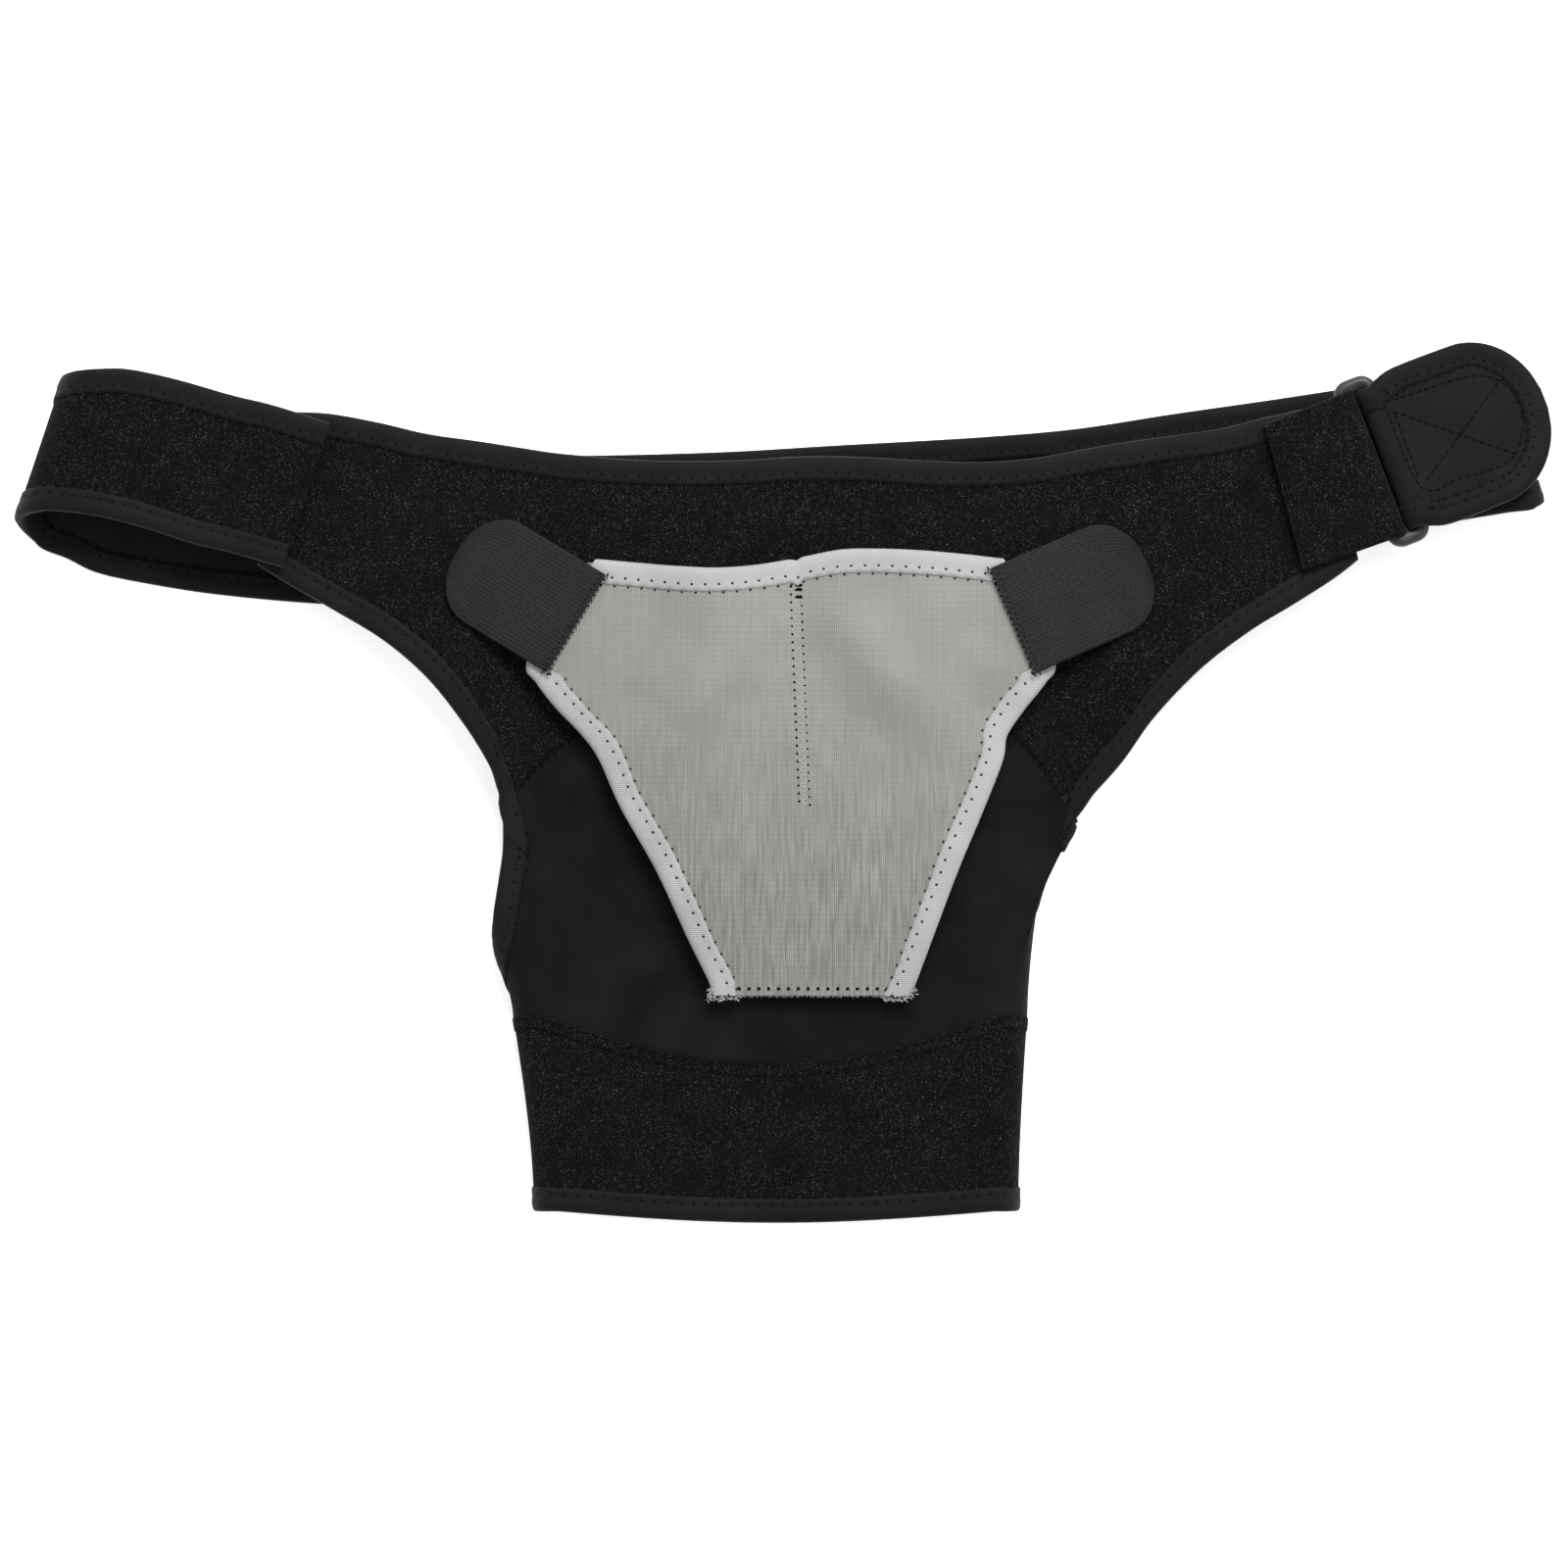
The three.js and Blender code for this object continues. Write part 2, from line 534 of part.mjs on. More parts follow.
function buildStrap() {
  const lines = [];
  const add = (centre, { lean, width }) => lines.push(strapLine(centre, lean, width * strapWidth, overhang));
  const seamHeight = leftWing[0].topZ * frontHeight + boundNeoprene + clearance + boundStrap;
  const bendTop = strapFloor + 2 * leftBend;
  strapFront.forEach((row) => add(plan(row, THREE.MathUtils.lerp(seamHeight, bendTop, row.lift)), row));

  const leftAxis = plan(leftTurn, strapFloor + leftBend);
  turnCentres(leftAxis, leftTurn.lean, leftBend, 90, 180, 8, leftAdvance).forEach((c) => add(c, leftTurn));
  strapBack.forEach((row) => add(plan(row, strapFloor), row));
  const rightAxis = plan(rightTurn, strapFloor + rightBend);
  turnCentres(rightAxis, rightTurn.lean, rightBend, -90, 180, 6, rightAdvance).forEach((c) => add(c, rightTurn));

  const lowFold = ringHeight - strapFold;
  strapReturn.forEach((row, i) => {
    const share = (i + 1) / (strapReturn.length + 1);
    add(plan(row, THREE.MathUtils.lerp(returnHeight, lowFold, share)), row);
  });
  const boundEnd = lines.length - 1;

  const barCentre = ringCentre.clone().addScaledVector(ringAlong, barSpacing / 2);
  turnCentres(barCentre, ringPlace.lean, strapFold, -90, -180, 6).forEach((c) => add(c, ringPlace));

  const tabStart = lines.length;
  const patchFloor = returnHeight + boundStrap + clearance;
  const tabHeight = patchFloor + hookTape + clearance + strapThickness / 2;
  const tabLine = (distance, z, width) => {
    const centre = ringCentre.clone().addScaledVector(ringAlong, distance).setZ(z);
    lines.push(strapLine(centre, ringPlace.lean, width, overhang));
  };
  const shoulder = tabLength - tabRound;
  const tabFirst = barSpacing / 2 + 3;
  const topFold = ringHeight + strapFold;
  tabLine(tabFirst, topFold, (tabWidth + ringPlace.width * strapWidth) / 2);
  tabLine(tabFirst + 7, THREE.MathUtils.lerp(topFold, tabHeight, 0.5), tabWidth);
  for (let i = 0; i <= 6; i++) {
    const angle = (Math.PI / 2) * (i / 6) * 0.93;
    tabLine(shoulder + tabRound * Math.sin(angle), tabHeight, tabWidth * Math.cos(angle) + 2 * overhang * Math.sin(angle));
  }
  const wall = fabric(lines, strapThickness);
  addMesh('chest_strap', wall.geometry, loopPile);
  const upper = edgeStations(wall, false, 0, boundEnd);
  const lower = edgeStations(wall, true, 0, boundEnd);
  addMesh('strap_binding_upper', foldedTape(upper, strapThickness), edgeTape);
  addMesh('strap_binding_lower', foldedTape(lower, strapThickness), edgeTape);
  addMesh('tab_binding', tabTape(wall, tabStart), edgeTape);
  addMesh('strap_hook_patch', hookPatch(tabHeight, shoulder), hookFabric);
}

// The tab's tape goes out along one side, round the end and back, square to the outline
function tabTape(wall, tabStart) {
  const out = wall.grid.slice(tabStart).map((line) => line[0]);
  const back = wall.grid.slice(tabStart).map((line) => line.at(-1));
  const outline = [...out, ...back.reverse()];
  const up = new THREE.Vector3(0, 0, 1);
  const stations = outline.map((edge, i) => {
    const before = outline[Math.max(i - 1, 0)];
    const after = outline[Math.min(i + 1, outline.length - 1)];
    const inward = after.clone().sub(before).setZ(0).normalize().cross(up);
    return { edge, inside: edge.clone().addScaledVector(inward, bindingWidth), normal: up };
  });
  return foldedTape(stations, strapThickness);
}

function hookPatch(tabHeight, shoulder) {
  const z = tabHeight - strapThickness / 2 - clearance - hookTape / 2;
  const half = tabWidth / 2 - bindingWidth - 2 * overhang;
  const start = barSpacing / 2 + ringBar + bindingWidth;
  const end = tabLength - bindingWidth - 4 * overhang;
  const distances = [start, shoulder];
  const angles = [0, 20, 40, 60, 75];
  const lines = distances.map((d) => patchLine(d, half, z));
  angles.slice(1).forEach((degrees) => {
    const angle = THREE.MathUtils.degToRad(degrees);
    lines.push(patchLine(shoulder + (end - shoulder) * Math.sin(angle), half * Math.cos(angle), z));
  });
  return fabric(lines, hookTape).geometry;
}

function patchLine(distance, half, z) {
  const centre = ringCentre.clone().addScaledVector(ringAlong, distance).setZ(z);
  return strapLine(centre, ringPlace.lean, 2 * half, 0);
}

// Strip folded round the ring's left bar, with one leg over and one leg under the yoke's end
function buildRingLoop() {
  const barCentre = ringCentre.clone().addScaledVector(ringAlong, -barSpacing / 2);
  const lines = [];
  const add = (centre, { lean, width }) => lines.push(strapLine(centre, lean, width * strapWidth, 0));
  const seam = plan(loopSeam);
  const leg = (share, side) => {
    const centre = seam.clone().lerp(barCentre, share);
    const mix = (a, b) => THREE.MathUtils.lerp(a, b, share);
    centre.z = ringHeight + side * mix(legOffset, share > 0.8 ? loopFold : legOffset);
    add(centre, { lean: mix(loopSeam.lean, ringPlace.lean), width: mix(loopSeam.width, ringPlace.width) });
  };
  [0, 0.3, 0.6, 0.8].forEach((share) => leg(share, 1));
  turnCentres(barCentre, ringPlace.lean, loopFold, 90, -180, 6).forEach((c) => add(c, ringPlace));
  [0.8, 0.6, 0.35].forEach((share) => leg(share, -1));
  addMesh('ring_loop', fabric(lines, ringLoopThickness).geometry, loopPile);
}

// Pad: a bowed panel over the yoke and sleeve, sewn down along its lower edge
function buildPad(support) {
  const grid = padSections.map(({ left, right, y, rise }, i) => {
    const fade = Math.max(0, 1 - i / (padSections.length - 1) / waveDepth) ** 2;
    return padWave.map((wave, j) => {
      const u = j / (padWave.length - 1);
      const side = 0.35 + 0.65 * Math.sin(Math.PI * u);
      const x = THREE.MathUtils.lerp(left * reach + overhang, right * reach - overhang, u);
      const point = new THREE.Vector3(x, (y + wave.shift * fade) * drop, 0);
      const bow = padRise * (rise * side + wave.rise * fade);
      point.z = heightAt(point.x, point.y, support) + overhang + 2 * clearance + padThickness / 2 + bow;
      return point;
    });
  });
  const wall = fabric(grid, padThickness);
  const topLine = grid[0].map((edge, j) => ({
    edge,
    inside: grid[1][j],
    normal: wall.normals[0][j],
    insideNormal: wall.normals[1][j],
  }));
  const corner = 2; // the sections above this one end under the hook tabs
  const pad = addMesh('pad', wall.geometry, greyJersey);
  const side = (lastEdge) => edgeStations(wall, lastEdge, corner, grid.length - 1);
  return [
    pad,
    addMesh('pad_binding_top', foldedTape(topLine.slice(1, -1), padThickness), paleTape),
    addMesh('pad_binding_left', foldedTape(side(false), padThickness), paleTape),
    addMesh('pad_binding_right', foldedTape(side(true), padThickness), paleTape),
  ];
}

// Hook tab: a tape with a rounded end that slopes from the pad's corner down onto the yoke
function buildHookTab(name, upperCorner, lowerCorner, length, support) {
  const up = plan(upperCorner);
  const low = plan(lowerCorner);
  const side = up.clone().sub(low).normalize();
  const away = new THREE.Vector3(-side.y, side.x, 0).multiplyScalar(Math.sign(upperCorner.x) * -1);
  const inner = up.clone().lerp(low, 0.5).addScaledVector(away, -tapeOverlap);
  const straight = length - tapeRound;
  const rows = [0, 0.12, 0.24, 0.36, 0.5, 0.66, 0.82, 1].map((share) => ({ s: share * straight, half: 1 }));
  [25, 45, 62, 76].forEach((degrees) => {
    const angle = THREE.MathUtils.degToRad(degrees);
    rows.push({ s: straight + tapeRound * Math.sin(angle), half: Math.cos(angle) });
  });
  rows.forEach((row) => {
    row.centre = inner.clone().addScaledVector(away, row.s);
    const samples = [-1, -0.5, 0, 0.5, 1].flatMap((across) =>
      [-3, 0, 3].map((ahead) => {
        const point = row.centre.clone().addScaledVector(side, (across * row.half * tapeWidth) / 2);
        point.addScaledVector(away, ahead);
        return heightAt(point.x, point.y, support, 0.5);
      }),
    );
    row.z = Math.max(...samples) + clearance + hookTape / 2;
  });
  const steepest = 0.3;
  for (let i = 1; i < rows.length; i++) {
    rows[i].z = Math.max(rows[i].z, rows[i - 1].z - steepest * (rows[i].s - rows[i - 1].s));
  }
  for (let i = rows.length - 2; i >= 0; i--) {
    rows[i].z = Math.max(rows[i].z, rows[i + 1].z - steepest * (rows[i + 1].s - rows[i].s));
  }
  const grid = rows.map(({ centre, z, half }) =>
    [1, 0.33, -0.33, -1].map((across) => {
      return centre.clone().addScaledVector(side, (across * half * tapeWidth) / 2).setZ(z);
    }),
  );
  addMesh(name, fabric(grid, hookTape).geometry, hookFabric);
}

const yoke = buildYoke();
const sleeve = buildSleeve();
buildCuff();
buildRing();
buildStrap();
buildRingLoop();
const padMeshes = buildPad([yoke, sleeve]);
const padCorner = { left: padSections[2], top: padSections[0] };
const tabSupport = [yoke, ...padMeshes];
buildHookTab(
  'hook_tab_left',
  { x: padCorner.top.left, y: padCorner.top.y },
  { x: padCorner.left.left, y: padCorner.left.y },
  leftTapeLength,
  tabSupport,
);
buildHookTab(
  'hook_tab_right',
  { x: padCorner.top.right, y: padCorner.top.y },
  { x: padCorner.left.right, y: padCorner.left.y },
  rightTapeLength,
  tabSupport,
);

// The origin is under the middle of the brace
const box = new THREE.Box3().setFromObject(brace);
const middle = box.getCenter(new THREE.Vector3());
brace.position.set(-middle.x, -middle.y, -box.min.z);
brace.updateMatrixWorld(true);

export default brace;
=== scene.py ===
import math
import random

import bpy
import numpy as np
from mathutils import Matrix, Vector, noise
from mathutils.bvhtree import BVHTree


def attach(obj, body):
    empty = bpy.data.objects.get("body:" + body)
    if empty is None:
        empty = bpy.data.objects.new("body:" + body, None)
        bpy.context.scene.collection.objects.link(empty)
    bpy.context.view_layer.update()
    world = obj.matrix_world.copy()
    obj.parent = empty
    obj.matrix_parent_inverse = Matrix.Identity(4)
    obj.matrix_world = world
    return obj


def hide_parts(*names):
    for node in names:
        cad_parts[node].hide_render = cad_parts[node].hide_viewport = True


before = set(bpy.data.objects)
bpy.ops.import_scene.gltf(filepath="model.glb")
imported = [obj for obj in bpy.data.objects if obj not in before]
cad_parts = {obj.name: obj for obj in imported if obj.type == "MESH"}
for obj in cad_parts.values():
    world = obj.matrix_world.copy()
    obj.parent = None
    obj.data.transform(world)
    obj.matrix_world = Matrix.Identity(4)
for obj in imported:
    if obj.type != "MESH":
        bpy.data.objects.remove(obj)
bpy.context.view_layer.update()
print("frame loaded:", len(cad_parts), "nodes")

# the brace as it lies: shares of the reach and the drop, as in the frame
layout = {
    "reach": 0.548,
    "drop": 0.313,
    "shift": (0.00105, -0.00056),
    "height": 0.016,        # middle of the yoke's wall
    "wall": 0.003,          # neoprene
    "overhang": 0.0013,     # tape past the edge it binds
    "tapeReach": 0.0076,
}


# camera and light
def addCamera():
    lens = {
        "distance": 3.0,
        "aim": 0.012,           # level at which the frame has its width
        "frameWidth": 0.56,
        "sensor": 36.0,
    }
    data = bpy.data.cameras.new("photoCamera")
    camera = bpy.data.objects.new("photoCamera", data)
    bpy.context.scene.collection.objects.link(camera)
    data.sensor_width = lens["sensor"]
    data.lens = lens["sensor"] * lens["distance"] / lens["frameWidth"]
    data.clip_end = 20.0
    camera.location = (*layout["shift"], lens["distance"] + lens["aim"])
    camera.rotation_euler = (0.0, 0.0, 0.0)    # straight down
    bpy.context.scene.camera = camera


def addArea(name, place, size, power):
    data = bpy.data.lights.new(name, "AREA")
    data.shape = "RECTANGLE"
    data.size, data.size_y = size
    data.energy = power
    lamp = bpy.data.objects.new(name, data)
    bpy.context.scene.collection.objects.link(lamp)
    lamp.location = place
    lamp.rotation_euler = (-Vector(place)).to_track_quat("-Z", "Y").to_euler()


def addStudio():
    lamps = {
        # place, width and height, power
        "softbox": ((0.45, 1.3, 1.55), (1.3, 0.8), 64.0),
        "leftFill": ((-1.5, -0.2, 1.1), (1.0, 1.2), 9.0),
        "rightFill": ((1.5, -0.3, 1.2), (0.9, 1.2), 9.5),
        "frontFill": ((0.0, -1.6, 1.0), (1.4, 0.7), 3.5),
    }
    room = {"colour": (0.95, 0.96, 1.0, 1.0), "strength": 0.37}
    for name, (place, size, power) in lamps.items():
        addArea(name, place, size, power)
    world = bpy.data.worlds.new("paleRoom")
    world.use_nodes = True
    background = world.node_tree.nodes["Background"]
    background.inputs["Color"].default_value = room["colour"]
    background.inputs["Strength"].default_value = room["strength"]
    bpy.context.scene.world = world
    bpy.context.scene.view_settings.view_transform = "Standard"    # plain, for a white ground and deep blacks


addCamera()
addStudio()
print("camera and lights ready")


# mesh helpers
up = np.array([0.0, 0.0, 1.0])


def plan(x, y, z=0.0):
    return np.array([x * layout["reach"] + layout["shift"][0], y * layout["drop"] + layout["shift"][1], z])


def unit(v):
    return v / np.maximum(np.linalg.norm(v, axis=-1, keepdims=True), 1e-12)


# how far along a line each of its points is
def runAlong(line):
    return np.concatenate([[0], np.cumsum(np.linalg.norm(np.diff(line, axis=0), axis=1))])


# values of a line at some distances, or at phases that grow along it
def sample(line, run, at):
    return np.stack([np.interp(at, run, line[:, k]) for k in range(line.shape[1])], 1)


def smoothRows(rows, steps, closed=False):
    rows = np.asarray(rows, float)
    count = len(rows)
    out = []
    for k in range(count if closed else count - 1):
        at = [(k + d) % count if closed else min(max(k + d, 0), count - 1) for d in (-1, 0, 1, 2)]
        a, b, c, d = rows[at]
        for s in np.linspace(0, 1, steps, endpoint=False):
            cubic = (3 * b - a - 3 * c + d) * s ** 3
            out.append(0.5 * (2 * b + (c - a) * s + (2 * a - 5 * b + 4 * c - d) * s * s + cubic))
    if not closed:
        out.append(rows[-1])
    return np.array(out)


def smoothGrid(grid, stepsAlong, stepsAcross, closed=False):
    grid = smoothRows(grid, stepsAlong, closed)
    return np.swapaxes(smoothRows(np.swapaxes(grid, 0, 1), stepsAcross), 0, 1)


def gridNormals(grid, closed=False):
    if closed:
        along = np.roll(grid, -1, 0) - np.roll(grid, 1, 0)
    else:
        along = np.gradient(grid, axis=0)
    return unit(np.cross(along, np.gradient(grid, axis=1)))


def ripple(points, size, amount, seed):
    flat = points.reshape(-1, 3)
    values = [noise.noise(Vector(p / size + seed * 7.3)) for p in flat]
    return amount * np.array(values).reshape(points.shape[:-1])


def addObject(name, verts, faces, material, uvs=None):
    mesh = bpy.data.meshes.new(name)
    mesh.from_pydata([tuple(v) for v in verts], [], faces)
    if uvs is not None:
        layer = mesh.uv_layers.new(name="cut")
        layer.data.foreach_set("uv", np.asarray(uvs, np.float32).ravel())
    mesh.polygons.foreach_set("use_smooth", [True] * len(mesh.polygons))
    mesh.materials.append(material)
    mesh.validate()
    obj = bpy.data.objects.new(name, mesh)
    bpy.context.scene.collection.objects.link(obj)
    return obj


def finishPiece(obj, slot, *nodes):
    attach(obj, "root")
    if nodes:
        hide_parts(*nodes)
    return obj


# closed skin through sections (stations, points round the section)
def skin(name, sections, material, closed=False, lining=None):
    stations, ring = sections.shape[:2]
    along = np.linalg.norm(np.diff(sections, axis=0, append=sections[:1]), axis=-1).mean(1)
    around = np.linalg.norm(np.diff(sections, axis=1, append=sections[:, :1]), axis=-1).mean(0)
    u = np.concatenate([[0], np.cumsum(along)])
    v = np.concatenate([[0], np.cumsum(around)])
    faces, uvs = [], []
    for i in range(stations if closed else stations - 1):
        n = (i + 1) % stations
        for q in range(ring):
            r = (q + 1) % ring
            faces.append((i * ring + q, i * ring + r, n * ring + r, n * ring + q))
            uvs += [(u[i], v[q]), (u[i], v[q + 1]), (u[i + 1], v[q + 1]), (u[i + 1], v[q])]
    if not closed:
        for cap in (list(range(ring)), [(stations - 1) * ring + q for q in range(ring - 1, -1, -1)]):
            faces.append(tuple(cap))
            uvs += [(0.0, v[q]) for q in range(ring)]
    verts = sections.reshape(-1, 3)
    obj = addObject(name, verts, faces, material, uvs)
    if lining is not None:
        outer = ring // 2 - 3    # points on the outer side; three more round each edge
        obj.data.materials.append(lining)
        for i, polygon in enumerate(obj.data.polygons):
            polygon.material_index = int(outer + 3 <= i % ring < 2 * outer + 2)
    volume = sum(np.dot(verts[a], np.cross(verts[b], verts[c])) + np.dot(verts[a], np.cross(verts[c], verts[d]))
                 for a, b, c, d in faces[: len(faces) - (0 if closed else 2)])
    if volume < 0:
        obj.data.flip_normals()
    return obj


# wall of cloth on both sides of a grid, with rounded side edges
def wallSections(grid, thickness, closed=False):
    normals = gridNormals(grid, closed)
    half = thickness / 2
    top, low = grid + normals * half, grid - normals * half
    first = unit(grid[:, 0] - grid[:, 1])
    last = unit(grid[:, -1] - grid[:, -2])
    turns = [math.radians(a) for a in (50, 0, -50)]
    lastRound = [grid[:, -1] + last * half * math.cos(a) * 0.8 + normals[:, -1] * half * math.sin(a) for a in turns]
    firstRound = [grid[:, 0] + first * half * math.cos(a) * 0.8 - normals[:, 0] * half * math.sin(a) for a in turns]
    return np.concatenate([top, np.stack(lastRound, 1), low[:, ::-1], np.stack(firstRound, 1)], axis=1)


def columnWalk(column, normals, distances):
    run = runAlong(column)
    return sample(column, run, distances), unit(sample(normals, run, distances))


tape = {
    "cloth": 0.00075,
    "pitch": 0.0046,        # from one crest of the zigzag to the next
    "crest": 0.0027,        # needle holes in the tape, in from its inner edge
    "valley": 0.0005,       # needle holes in the cloth, past the inner edge
    "pucker": 0.00024,
    "scallop": 0.00032,
}


# folded edge tape; returns its sections and the two lines of needle holes
def tapeSections(grid, lastEdge, thickness, start, stop, closed, seed):
    overhang = layout["overhang"]
    stop = len(grid) if stop is None else stop
    normals = gridNormals(grid, closed)
    ids = [k % len(grid) for k in range(start, stop)]
    loop = closed and stop - start >= len(grid)
    columns = grid[ids][:, ::-1] if lastEdge else grid[ids]
    facings = normals[ids][:, ::-1] if lastEdge else normals[ids]
    columns = smoothRows(columns, 3, loop)
    facings = unit(smoothRows(facings, 3, loop))
    edges = columns[:, 0]
    run = runAlong(np.vstack([edges, edges[:1]]))
    total = run[-1] if loop else run[-2]
    count = max(round(total / tape["pitch"]), 1)
    sections, lines = [], [[], [], [], []]    # crests and valleys on the outside, then on the inside
    for k in range(len(edges)):
        column, facing = columns[k], facings[k]
        out = unit(column[0] - column[1])
        if loop:
            tangent = unit(edges[(k + 1) % len(edges)] - edges[k - 1])
        else:
            tangent = unit(edges[min(k + 1, len(edges) - 1)] - edges[max(k - 1, 0)])
        square = max(abs(np.linalg.norm(np.cross(tangent, out))), 0.75)
        swing = 0.5 + 0.5 * math.cos(2 * math.pi * count * run[k] / total)    # 1 at a crest
        wobble = 1 + 0.04 * noise.noise(Vector(column[0] / 0.012 + seed))
        high = thickness / 2 + tape["cloth"]
        width = layout["tapeReach"] * wobble - tape["scallop"] * (1 - swing)
        seam = width - tape["crest"]
        sunk = tape["pucker"] * (0.25 + 0.75 * swing)
        # distance in from the edge and height, from the inner edge outwards
        shape = [(width, thickness / 2 + 0.0001), (width - 0.0003, high - 0.00012), (seam + 0.001, high - 0.00004),
                 (seam, high - sunk), (seam - 0.001, high - 0.00004), (seam / 2, high + 0.00014),
                 (0.0006, high + 0.00004)]
        distances = np.array([d for d, h in shape] + [0.0, width + tape["valley"]]) / square
        points, turned = columnWalk(column, facing, distances)
        top = [p + n * h for p, n, (d, h) in zip(points, turned, shape)]
        low = [p - n * h for p, n, (d, h) in zip(points, turned, shape)]
        rim = [column[0] + out * overhang / square * math.cos(a) + facing[0] * high * math.sin(a)
               for a in (math.radians(d) for d in (60, 30, 0, -30, -60))]
        lining = [points[0] - turned[0] * thickness / 2, points[-2] - turned[-2] * thickness / 2,
                  points[-2] + turned[-2] * thickness / 2, points[0] + turned[0] * thickness / 2]
        sections.append(top + rim + low[::-1] + lining)
        lift = turned[-1] * (thickness / 2 + 0.00005)
        for line, point in zip(lines, (top[3], points[-1] + lift, low[3], points[-1] - lift)):
            line.append(point)
    phase = run[:len(edges)] * count / total
    ends = count if loop else count + 0.01
    seams = [walkPhases(np.array(line), facings[:, 0] * side, phase, first, ends, loop)
             for line, side, first in zip(lines, (1, 1, -1, -1), (0.0, 0.5, 0.0, 0.5))]
    return np.array(sections), seams, loop


# points of a line at whole steps of a phase that grows along it
def walkPhases(line, normals, phase, first, ends, loop):
    if loop:
        line, normals = np.vstack([line, line[:1]]), np.vstack([normals, normals[:1]])
        phase = np.append(phase, ends)
    at = np.arange(first, ends, 1.0)
    return sample(line, phase, at), unit(sample(normals, phase, at))


# stitches
def capsule(sides):
    rings = [(-1.0, 0.3), (-0.55, 1.0), (0.55, 1.0), (1.0, 0.3)]
    verts = [(x, r * math.cos(2 * math.pi * k / sides), r * math.sin(2 * math.pi * k / sides)) for x, r in rings
             for k in range(sides)]
    faces = [tuple(range(sides)), tuple(range(4 * sides - 1, 3 * sides - 1, -1))]
    for i in range(3):
        for k in range(sides):
            n = (k + 1) % sides
            faces.append((i * sides + k, (i + 1) * sides + k, (i + 1) * sides + n, i * sides + n))
    return np.array(verts), faces


threadVerts, threadFaces = capsule(5)


# one short raised thread for each pair of points
def threadMesh(name, starts, ends, normals, width, height, material):
    centres = (starts + ends) / 2
    along = (ends - starts) / 2
    across = unit(np.cross(normals, along)) * width / 2
    raised = unit(np.cross(along, across)) * height / 2
    verts = (centres[:, None] + along[:, None] * threadVerts[None, :, :1] + across[:, None] * threadVerts[None, :, 1:2]
             + raised[:, None] * threadVerts[None, :, 2:3]).reshape(-1, 3)
    count = len(threadVerts)
    faces = [tuple(n * count + k for k in face) for n in range(len(centres)) for face in threadFaces]
    return addObject(name, verts, faces, material)


def walk(path, normals, spacing, closed=False):
    if closed:
        path, normals = np.vstack([path, path[:1]]), np.vstack([normals, normals[:1]])
    run = runAlong(path)
    at = np.linspace(0, run[-1], max(int(run[-1] / spacing), 1) + 1)
    return sample(path, run, at), unit(sample(normals, run, at))


stitch = {
    "rowLift": 0.00005,
    "zigzagLift": 0.00006,
    "zigzagWidth": 0.00042,
    "holeSize": 0.00085,
    "holeLift": 0.00003,
    "holeHeight": 0.00022,
    "holeTurn": (0.31, 0.95, 0.05),    # the dents lie square to this
}


def sewRow(name, path, normals, material, length, gap, width, closed=False):
    points, facing = walk(path, normals, length + gap, closed)
    share = gap / (length + gap) / 2
    a, b = points[:-1], points[1:]
    starts, ends = a + (b - a) * share, b - (b - a) * share
    raised = facing[:-1] * stitch["rowLift"]
    obj = threadMesh(name, starts + raised, ends + raised, facing[:-1], width, width * 0.8, material)
    return finishPiece(obj, "edge_tape")


# small dark marks where the needle went through: painted shade of the holes
def needleHoles(name, points, normals, material, size):
    side = unit(np.cross(normals, np.array(stitch["holeTurn"]))) * size / 2
    raised = normals * stitch["holeLift"]
    obj = threadMesh(name, points - side + raised, points + side + raised, normals, size, stitch["holeHeight"],
                     material)
    return finishPiece(obj, "edge_tape")


# zigzag between two lines of needle holes
def sewZigzag(name, crests, valleys, thread, hole, holeSize, width=stitch["zigzagWidth"], slot="edge_tape"):
    points, facing = [], []
    for k in range(max(len(crests[0]), len(valleys[0]))):
        for line, normals in (crests, valleys):
            if k < len(line):
                points.append(line[k])
                facing.append(normals[k])
    points, facing = np.array(points), np.array(facing)
    lifted = points + facing * stitch["zigzagLift"]
    obj = threadMesh(name, lifted[:-1], lifted[1:], facing[:-1], width, width * 0.6, thread)
    needleHoles(name + "Holes", lifted, facing, hole, holeSize)
    return finishPiece(obj, slot)


# two even lines of holes beside a path, for a zigzag that isn't on a tape
def zigzagLines(path, normals, pitch, swing):
    points, facing = walk(path, normals, pitch / 2)
    side = unit(np.cross(facing, np.gradient(points, axis=0)))
    return ((points + side * swing)[0::2], facing[0::2]), ((points - side * swing)[1::2], facing[1::2])


# shader groups
def newGroup(name, inputs, outputs):
    group = bpy.data.node_groups.new(name, "ShaderNodeTree")
    for label, kind, value in inputs:
        socket = group.interface.new_socket(name=label, in_out="INPUT", socket_type=kind)
        if value is not None:
            socket.default_value = value
    for label, kind in outputs:
        group.interface.new_socket(name=label, in_out="OUTPUT", socket_type=kind)
    return group, group.nodes.new("NodeGroupInput"), group.nodes.new("NodeGroupOutput")


def node(tree, kind, links=(), **settings):
    made = tree.nodes.new(kind)
    for key, value in settings.items():
        if key.startswith("in_"):
            made.inputs[int(key[3:])].default_value = value
        else:
            setattr(made, key, value)
    for index, source in links:
        tree.links.new(source, made.inputs[index])
    return made


